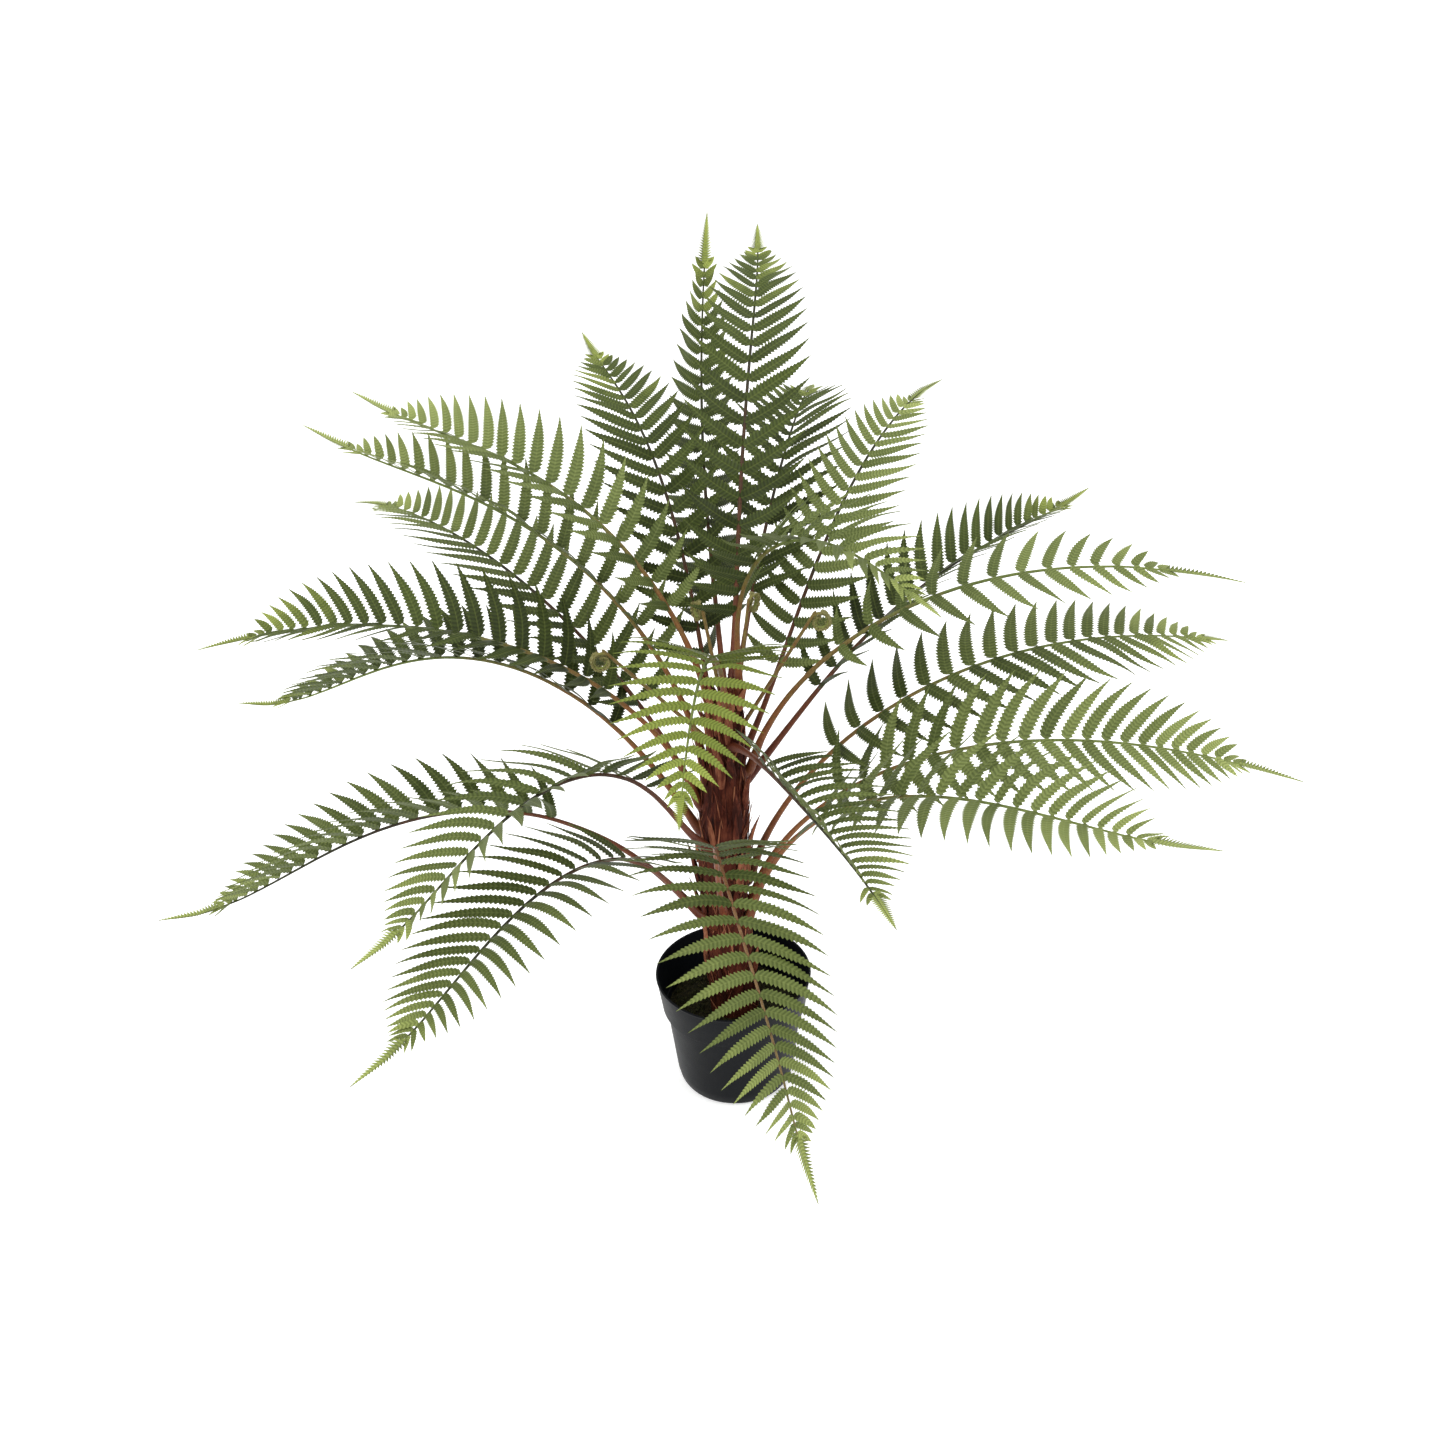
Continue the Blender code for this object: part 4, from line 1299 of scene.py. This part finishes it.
    def tip(self) -> Object:
        """Make the narrow toothed tip, bent along the end of the line.

        Returns:
            The tip.
        """
        made = copy_of(self.leaflets.tip.piece)
        rows = points_of(made.data)
        spare = self.line.length - self.tip_from
        placed = []
        for s, y, z in rows:
            here = self.line.at(self.tip_from + spare * s)
            dished = abs(y) * self.tip_width * self.tip_rise
            offset = here.up * (here.deep + dished + z * Leaflets.THICKNESS)
            placed.append(here.place + here.left * (y * 2.0 * self.tip_width) + offset)
        set_points(made.data, np.array([tuple(p) for p in placed]))
        runs = self.tip_from + spare * rows[:, 0]
        set_attribute(made.data, "age", [self.age_at(self.share(run)) for run in runs])
        set_attribute(made.data, "tone", [0.0] * len(rows))
        return made


FROND_AGES = {
    Age.OLD: (5, 6, 10, 11, 12, 13, 15),
    Age.GROWN: (1, 2, 3, 4, 7, 17, 20, 22),
    Age.FRESH: (8, 9, 14, 16, 18, 19),
    Age.YOUNG: (21,),
}
FROND_SKINS = {
    Skin.RUSTY: (1,),
    Skin.DARK: (2, 3, 4, 7, 10, 11, 12, 13, 14, 15, 20),
    Skin.GREEN: (5, 6, 8, 9, 16, 17, 18, 19, 21, 22),
}


@dataclass
class Crozier:
    """A young frond that is still coiled, with a fuzzy skin and the tight nubs of its folded leaflets."""

    number: int
    trunk: TrunkSkin
    nub: float = 0.0034
    hair: float = 0.0034
    hair_radius: float = 0.00035
    hairs: int = 3  # at each place of the coil
    foot_sink: float = 0.005  # how far the stalk runs on into the trunk
    foot_flare: float = 1.2

    def build(self) -> None:
        """Build the stalk with its coil, the nubs and the fuzz."""
        node = f"crozier_{self.number}"
        dice = random.Random(self.number * 977)
        rings = Solid(node).rings(self.trunk)
        centres = [middle_of(ring) for ring in rings]
        wides = [max((p - c).length for p in ring) for ring, c in zip(rings, centres)]
        inward = (centres[0] - centres[1]).normalized()
        places = smooth_line([centres[0] + inward * self.foot_sink, *centres])
        radii = filled_in([wides[0] * self.foot_flare, *wides])
        stalk = tube_along(f"{node}_coil", places, radii, 10)
        smooth(stalk, 60.0)
        dress(stalk, CROZIER_FINISH.name)
        seat(stalk, [node])
        self.build_fuzz(places, radii, dice)

    def build_fuzz(self, places: list[Vector], radii: list[float], dice: random.Random) -> None:
        """Make the folded leaflets on the outside of the coil, with short hairs between them.

        Args:
            places: the line of the stalk and its coil.
            radii: the stalk's radius at each place.
            dice: what varies the fuzz.
        """
        nub, hair = self.nub_master(), self.hair_master()
        coil_from = len(places) * 5 // 18  # where the straight part of the stalk ends
        centre = middle_of(places[coil_from:])
        parts = []
        for k in range(coil_from, len(places) - 1):
            ahead = (places[k + 1] - places[k]).normalized()
            out = places[k] - centre
            out = (out - ahead * out.dot(ahead)).normalized()
            side = ahead.cross(out)
            for turn in (-1, 1):
                way = (out * 0.5 + side * turn * 0.75 + ahead * 0.35).normalized()
                size = self.nub * dice.uniform(0.8, 1.2) * (1.1 - 0.4 * k / len(places))
                parts.append(self.stand(nub, places[k] + way * radii[k] * 0.5, way, size, size * 0.42))
            for _ in range(self.hairs):
                angle = dice.uniform(0.0, math.tau)
                around = out * math.cos(angle) + side * math.sin(angle)
                way = (around + ahead * dice.uniform(-0.3, 0.6)).normalized()
                root = places[k] + way * radii[k] * 0.8
                length = self.hair * dice.uniform(0.6, 1.3)
                parts.append(self.stand(hair, root, way, length, self.hair_radius))
        fuzz = join(parts, f"crozier_{self.number}_fuzz")
        for master in (nub, hair):
            bpy.data.objects.remove(master)
        smooth(fuzz, 70.0)
        dress(fuzz, FUZZ_FINISH.name)
        seat(fuzz)

    def nub_master(self) -> Object:
        """Model a plump little bud, a unit long and a unit in radius."""
        deselect()
        bpy.ops.mesh.primitive_cylinder_add(vertices=6, radius=0.6, depth=1.0, location=(0, 0, 0.5))
        piece = settled("nub")
        edit(piece, lambda co: co.z > 0.9, "FACE")
        bpy.ops.mesh.extrude_region_move(TRANSFORM_OT_translate={"value": (0, 0, 0.25)})
        bpy.ops.transform.resize(value=(0.45, 0.45, 1.0), center_override=(0, 0, 1.0))
        close_edit()
        for vertex in piece.data.vertices:
            if 0.9 < vertex.co.z < 1.1:
                vertex.co.z = 0.6
                vertex.co.xy *= 1.6
        return piece

    def hair_master(self) -> Object:
        """Model a thin three-sided spike, a unit long and a unit in radius."""
        deselect()
        bpy.ops.mesh.primitive_cone_add(vertices=3, radius1=1.0, radius2=0.0, depth=1.0, location=(0, 0, 0.5))
        return settled("hair")

    @staticmethod
    def stand(master: Object, root: Vector, way: Vector, length: float, radius: float) -> Object:
        """Copy a master to stand at a root.

        Args:
            master: the unit shape, which points along Z.
            root: where its foot goes.
            way: where it points.
            length: its length.
            radius: its radius.

        Returns:
            The copy.
        """
        made = copy_of(master)
        turn = way.to_track_quat("Z", "Y").to_matrix().to_4x4()
        stretch = Matrix.Diagonal((radius, radius, length, 1.0))
        made.data.transform(Matrix.Translation(root) @ turn @ stretch)
        return made


# ---------------------------------------------------------------------------------------------------
# Trunk, pot and what fills it
# ---------------------------------------------------------------------------------------------------


STRAND_TAPER = ((0.0, 0.55), (0.25, 1.0), (0.5, 0.9), (0.75, 0.6), (1.0, 0.10))


@dataclass
class Trunk:
    """The fibrous trunk: a lumpy core, matted strands, and torn leaf bases towards the crown."""

    skin: TrunkSkin
    sides: int = 64
    rows: int = 90
    lump: float = 0.0016
    sunk: float = 0.0006  # how far the core lies inside the solid, under its strands
    shown: float = 0.006  # how far below the top of the moss its cover starts
    strands: int = 460
    strand_length: tuple[float, float] = (0.018, 0.045)
    strand_radius: tuple[float, float] = (0.0007, 0.0013)
    strand_slant: float = 0.35  # the spread of the slants, in radians
    bases: int = 64
    base_length: tuple[float, float] = (0.030, 0.058)
    base_radius: tuple[float, float] = (0.0034, 0.0054)
    base_slant: float = 0.10
    flare: tuple[float, float] = (0.02, 0.16)  # how far an end stands off, as a share of the length
    crown_growth: tuple[float, float, float] = (0.5, 0.3, 0.34)  # of length, radius and flare, at the top
    low: float = field(init=False)
    high: float = field(init=False)
    dice: random.Random = field(init=False)

    def build(self) -> None:
        """Build the core and what covers it."""
        self.low, self.high = self.skin.low, self.skin.high
        self.dice = random.Random(7)
        self.build_core()
        self.build_cover()

    def build_core(self) -> None:
        """Make the core: a fine cylinder laid on the solid's sides, with lumps and grooves."""
        deselect()
        middle = (self.low + self.high) / 2
        bpy.ops.mesh.primitive_cylinder_add(
            vertices=self.sides, radius=0.02, depth=self.high - self.low, location=(0, 0, middle)
        )
        core = settled("trunk_core")
        cut_rings(core, 0.01, self.rows)
        for vertex in core.data.vertices:
            height = min(self.high - 0.0005, max(self.low + 0.0005, vertex.co.z))
            axis = self.skin.axis(height)
            way = Vector((vertex.co.x, vertex.co.y, 0.0)).normalized()
            place = self.skin.side(Vector((axis.x, axis.y, height)), way)
            lumps = noise.noise(Vector((way.x * 3.0, way.y * 3.0, height * 60.0)))
            grooves = noise.noise(Vector((way.x * 11.0, way.y * 11.0, height * 16.0 + 5.0)))
            place += way * (self.lump * (0.9 * lumps + 0.8 * grooves) - self.sunk)
            vertex.co = Vector((place.x, place.y, vertex.co.z))
        smooth(core, 75.0)
        dress(core, TRUNK_FINISH.name)
        seat(core, ["trunk"])

    def build_cover(self) -> None:
        """Lay strands over the core, and stand torn leaf bases round its upper part."""
        strand = self.strand_master()
        parts = []
        shown_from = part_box("moss")[1].z - self.shown
        for _ in range(self.strands):
            height = shown_from + (self.high - shown_from) * self.dice.random() ** 0.85
            length, radius = self.dice.uniform(*self.strand_length), self.dice.uniform(*self.strand_radius)
            slant, flare = self.dice.gauss(0.0, self.strand_slant), self.dice.uniform(*self.flare)
            parts.append(self.lay(strand, height, length, radius, slant, flare))
        longer, wider, looser = self.crown_growth
        for k in range(self.bases):
            share = (k + self.dice.random()) / self.bases
            height = shown_from + (self.high - shown_from) * (0.02 + 0.94 * share)
            more = share * share
            length = self.dice.uniform(*self.base_length) * (1.0 + longer * more)
            radius = self.dice.uniform(*self.base_radius) * (1.0 + wider * more)
            slant = self.dice.gauss(0.0, self.base_slant)
            flare = self.dice.uniform(*self.flare) + looser * more
            parts.append(self.lay(strand, height, length, radius, slant, flare))
        cover = join(parts, "trunk_strands")
        bpy.data.objects.remove(strand)
        smooth(cover, 70.0)
        dress(cover, STRAND_FINISH.name)
        seat(cover)

    def strand_master(self) -> Object:
        """Model a tapered, slightly flat strand, a unit long and a unit in radius, that points along Z."""
        deselect()
        bpy.ops.mesh.primitive_cylinder_add(vertices=5, radius=1.0, depth=1.0, location=(0, 0, 0.5))
        piece = settled("strand")
        cut_rings(piece, 0.5, 3)
        for vertex in piece.data.vertices:
            girth = along(STRAND_TAPER, vertex.co.z)
            vertex.co.x *= girth
            vertex.co.y *= girth * 0.6
        return piece

    def lay(
        self, master: Object, height: float, length: float, radius: float, slant: float, flare: float
    ) -> Object:
        """Lay a copy of the strand on the trunk's side.

        Args:
            master: the unit strand.
            height: where its foot is.
            length: its length.
            radius: half its width.
            slant: how far it leans sideways, in radians.
            flare: how far its end stands off, as a share of its length.

        Returns:
            The copy.
        """
        turn = self.dice.uniform(0.0, math.tau)
        way = Vector((math.cos(turn), math.sin(turn), 0.0))
        root = self.skin.side(self.skin.axis(height), way)
        root.z = height
        if slant < 1.2:
            length = min(length, (self.high + 0.010 - height) / math.cos(slant))
        around = Vector((-way.y, way.x, 0.0))
        rise = (Vector((0.0, 0.0, 1.0)) * math.cos(slant) + around * math.sin(slant)).normalized()
        made = copy_of(master)
        placed = []
        for vertex in made.data.vertices:
            s = vertex.co.z
            spot = root + rise * (length * s)
            top = self.skin.axis(spot.z)
            outward = Vector((spot.x - top.x, spot.y - top.y, 0.0)).normalized()
            on_skin = self.skin.side(top, outward)
            lift = flare * length * s * s + radius * 0.35
            base = Vector((on_skin.x, on_skin.y, spot.z)) + outward * lift
            cross = rise.cross(outward).normalized()
            placed.append(base + cross * (vertex.co.x * radius) - outward * (vertex.co.y * radius))
        set_points(made.data, np.array([tuple(p) for p in placed]))
        set_attribute(made.data, "tone", [self.dice.uniform(-1.0, 1.0)] * len(placed))
        return made


@dataclass
class Pot:
    """The thin-walled black pot: a rounded foot, a tapered wall and a raised band below the rim."""

    sides: int = 128
    wall: float = 0.0018
    band: float = 0.041  # the band's height
    foot_share: float = 0.745  # the radius at the foot as a share of that at the rim
    neck_share: float = 0.873  # the radius just under the band
    rounding: float = 0.0011

    def build(self) -> None:
        """Raise the pot from its base ring by ring, outside first and then down its inside."""
        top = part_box("pot")[1]
        rim, height = top.x, top.z
        band = height - self.band
        foot, neck = rim * self.foot_share, rim * self.neck_share
        outside = [
            (foot - 0.0115, 0.0), (foot - 0.0070, 0.0005), (foot - 0.0030, 0.0026), (foot - 0.0008, 0.0066),
            (foot + 0.0016, 0.0170), (neck, band - 0.0014), (rim - 0.0064, band),
            (rim - 0.0010, height - 0.0024), (rim - 0.0002, height - 0.0012),
            (rim - 0.0003, height - 0.0004), (rim - 0.0011, height),
        ]
        inside = [
            (rim - self.wall - 0.0004, height), (rim - self.wall - 0.0010, height - 0.0012),
            (rim - self.wall - 0.0066, band + 0.0010), (neck - self.wall, band - 0.0060),
            (foot + 0.0016 - self.wall, 0.0170), (foot - 0.0060 - self.wall, 0.0060),
            (foot - 0.0140, 0.0030),
        ]
        deselect()
        bpy.ops.mesh.primitive_circle_add(vertices=self.sides, radius=outside[0][0], fill_type="NOTHING")
        pot = settled("pot_shell")
        edit(pot, None, "EDGE")
        bpy.ops.mesh.edge_face_add()
        bpy.ops.mesh.select_all(action="SELECT")
        outline = outside + inside
        for (r0, z0), (r1, z1) in zip(outline, outline[1:]):
            bpy.ops.mesh.extrude_region_move(TRANSFORM_OT_translate={"value": (0.0, 0.0, z1 - z0)})
            bpy.ops.transform.resize(value=(r1 / r0, r1 / r0, 1.0), center_override=(0.0, 0.0, z1))
        close_edit()
        edit(pot)
        bpy.ops.mesh.normals_make_consistent(inside=False)
        close_edit()
        limits = {"limit_method": "ANGLE", "angle_limit": math.radians(24)}
        apply_modifier(pot, "BEVEL", width=self.rounding, segments=4, **limits)
        smooth(pot, 40.0)
        dress(pot, POT_FINISH.name)
        seat(pot, ["pot"])


@dataclass
class Bed:
    """The moss that covers the fill: a rough mat with small tufts."""

    sides: int = 96
    cuts: int = 14
    tufts: int = 420
    tuft: float = 0.0042
    inner: float = 0.0290  # radius of the hole that the trunk stands in
    clearance: float = 0.0002  # between the mat and the pot's wall
    crown: float = 0.0035  # how far the mat rises halfway out
    dip: float = 0.0045  # how far the mat's edges lie below the solid's top
    hollow: float = 0.004  # how far the mat goes down round the trunk
    outer: float = field(init=False)
    level: float = field(init=False)
    bottom: float = field(init=False)

    def build(self) -> None:
        """Build the mat and its tufts, and dress the fill under them."""
        low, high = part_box("moss")
        self.outer = high.x - self.clearance
        self.level, self.bottom = high.z, low.z
        self.build_mat()
        self.build_tufts()
        dress(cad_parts["soil"], SOIL_FINISH.name)

    def height(self, x: float, y: float) -> float:
        """The mat's height at a place."""
        radius = math.hypot(x, y)
        crown = self.crown * math.sin(math.pi * (radius - self.inner) / (self.outer - self.inner))
        lumps = 0.0016 * noise.noise(Vector((x * 90, y * 90, 0)))
        crumbs = 0.0009 * noise.noise(Vector((x * 300, y * 300, 4)))
        return self.level - self.dip + crown + (lumps + crumbs)

    def build_mat(self) -> None:
        """Make the mat: a ring with a rough top, closed underneath."""
        deselect()
        bpy.ops.mesh.primitive_cylinder_add(
            vertices=self.sides, radius=self.outer, depth=self.level - self.bottom, end_fill_type="NGON",
            location=(0.0, 0.0, (self.level + self.bottom) / 2),
        )
        mat = settled("moss_mat")
        top = self.level - WELD
        edit(mat, lambda co: co.z > top, "FACE")
        step = (self.outer - self.inner) / self.cuts
        for _ in range(self.cuts):
            bpy.ops.mesh.inset(thickness=step, use_even_offset=True)
        bpy.ops.mesh.extrude_region_move(TRANSFORM_OT_translate={"value": (0.0, 0.0, -self.hollow)})
        close_edit()
        for vertex in mat.data.vertices:
            if vertex.co.z > top:
                vertex.co.z = self.height(vertex.co.x, vertex.co.y)
        smooth(mat, 60.0)
        dress(mat, MOSS_FINISH.name)
        seat(mat, ["moss"])

    def build_tufts(self) -> None:
        """Scatter small ragged tufts over the mat."""
        dice = random.Random(31)
        deselect()
        bpy.ops.mesh.primitive_ico_sphere_add(subdivisions=1, radius=1.0)
        tuft = bpy.context.active_object
        parts = []
        for _ in range(self.tufts):
            turn = dice.uniform(0.0, math.tau)
            radius = math.sqrt(dice.uniform((self.inner + 0.002) ** 2, (self.outer - 0.004) ** 2))
            x, y = radius * math.cos(turn), radius * math.sin(turn)
            size = self.tuft * dice.uniform(0.35, 1.0)
            made = copy_of(tuft)
            shape = Matrix.Diagonal((size, size * dice.uniform(0.6, 1.0), size * dice.uniform(0.4, 0.8), 1.0))
            spin = Matrix.Rotation(dice.uniform(0.0, math.tau), 4, "Z")
            made.data.transform(Matrix.Translation((x, y, self.height(x, y) + size * 0.1)) @ spin @ shape)
            for vertex in made.data.vertices:
                vertex.co += Vector([dice.uniform(-0.3, 0.3) * size for _ in range(3)])
            parts.append(made)
        bed = join(parts, "moss_tufts")
        bpy.data.objects.remove(tuft)
        smooth(bed, 50.0)
        dress(bed, TUFT_FINISH.name)
        seat(bed)


# ---------------------------------------------------------------------------------------------------
# Studio
# ---------------------------------------------------------------------------------------------------


@dataclass(frozen=True)
class Studio:
    """A pale floor, soft light from all round, and the camera."""

    floor_size: float = 60.0
    floor_drop: float = 0.0005  # keeps the floor clear of the pot's base
    floor_glow: float = 0.40
    sky: float = 0.86
    aim: float = 0.45  # the height that the lamps point at
    place: tuple[float, float, float] = (-0.003, -1.72, 1.52)
    pitch: float = 31.5  # degrees below level
    roll: float = 1.8
    lens: float = 50.0
    sensor: float = 36.0

    def build(self) -> None:
        """Set up the floor, the lights and the camera."""
        self.build_floor()
        self.build_light()
        self.build_camera()

    def build_floor(self) -> None:
        """Lay the floor."""
        deselect()
        bpy.ops.mesh.primitive_plane_add(size=self.floor_size, location=(0.0, 0.0, -self.floor_drop))
        floor = bpy.context.active_object
        floor.name = "floor"
        nodes, shader, place = start_material("floor_paper")
        patches = nodes.pattern("Mottle", place, Scale=3.0, Contrast=1.0)
        paint(nodes, shader, nodes.mix(patches, colour("fafafa"), colour("ffffff")), 1.0, 0.0)
        shader.inputs["Emission Color"].default_value = colour("ffffff")
        shader.inputs["Emission Strength"].default_value = self.floor_glow
        dress(floor, "floor_paper")

    def build_light(self) -> None:
        """Light the plant from a bright sky and three large soft lamps."""
        bpy.context.scene.view_settings.view_transform = "Standard"
        world = bpy.data.worlds.new("studio")
        bpy.context.scene.world = world
        world.use_nodes = True
        sky = world.node_tree.nodes["Background"]
        sky.inputs["Color"].default_value = colour("ffffff")
        sky.inputs["Strength"].default_value = self.sky
        lamps = (
            ("key", (-1.6, -2.2, 2.8), 1.6, 60.0),
            ("fill", (2.4, -1.4, 2.0), 2.2, 16.0),
            ("top", (0.2, 0.6, 3.2), 2.4, 30.0),
        )
        for name, place, size, power in lamps:
            light = bpy.data.lights.new(name, "AREA")
            light.shape = "DISK"
            light.size = size
            light.energy = power
            lamp = in_scene(name, light)
            lamp.location = place
            towards = Vector((0.0, 0.0, self.aim)) - Vector(place)
            lamp.rotation_euler = towards.to_track_quat("-Z", "Y").to_euler()

    def build_camera(self) -> None:
        """Set up the camera."""
        data = bpy.data.cameras.new("camera")
        data.lens = self.lens
        data.sensor_width = self.sensor
        camera = in_scene("camera", data)
        tilt = Matrix.Rotation(math.radians(90.0 - self.pitch), 4, "X")
        roll = Matrix.Rotation(math.radians(-self.roll), 4, "Z")
        camera.matrix_world = Matrix.Translation(self.place) @ tilt @ roll
        bpy.context.scene.camera = camera


def pick(table: dict, number: int) -> Enum:
    """The option under which a frond's number is listed."""
    return next(option for option, numbers in table.items() if number in numbers)


def main() -> None:
    """Build the plant and its studio."""
    logging.basicConfig(level=logging.INFO, format="%(message)s")
    make_groups()
    for table in (LEAF_FINISHES, UNDER_FINISHES, STALK_FINISHES):
        for finish in table.values():
            finish.build()
    for finish in OTHER_FINISHES:
        finish.build()
    Studio().build()
    Pot().build()
    Bed().build()
    skin = TrunkSkin()
    Trunk(skin).build()
    leaflets = Leaflets()
    for number in range(1, FROND_COUNT + 1):
        Frond(number, pick(FROND_AGES, number), pick(FROND_SKINS, number), leaflets, skin).build()
    leaflets.clear()
    for number in range(1, CROZIER_COUNT + 1):
        Crozier(number, skin).build()
    deselect()


if __name__ == "__main__":
    main()
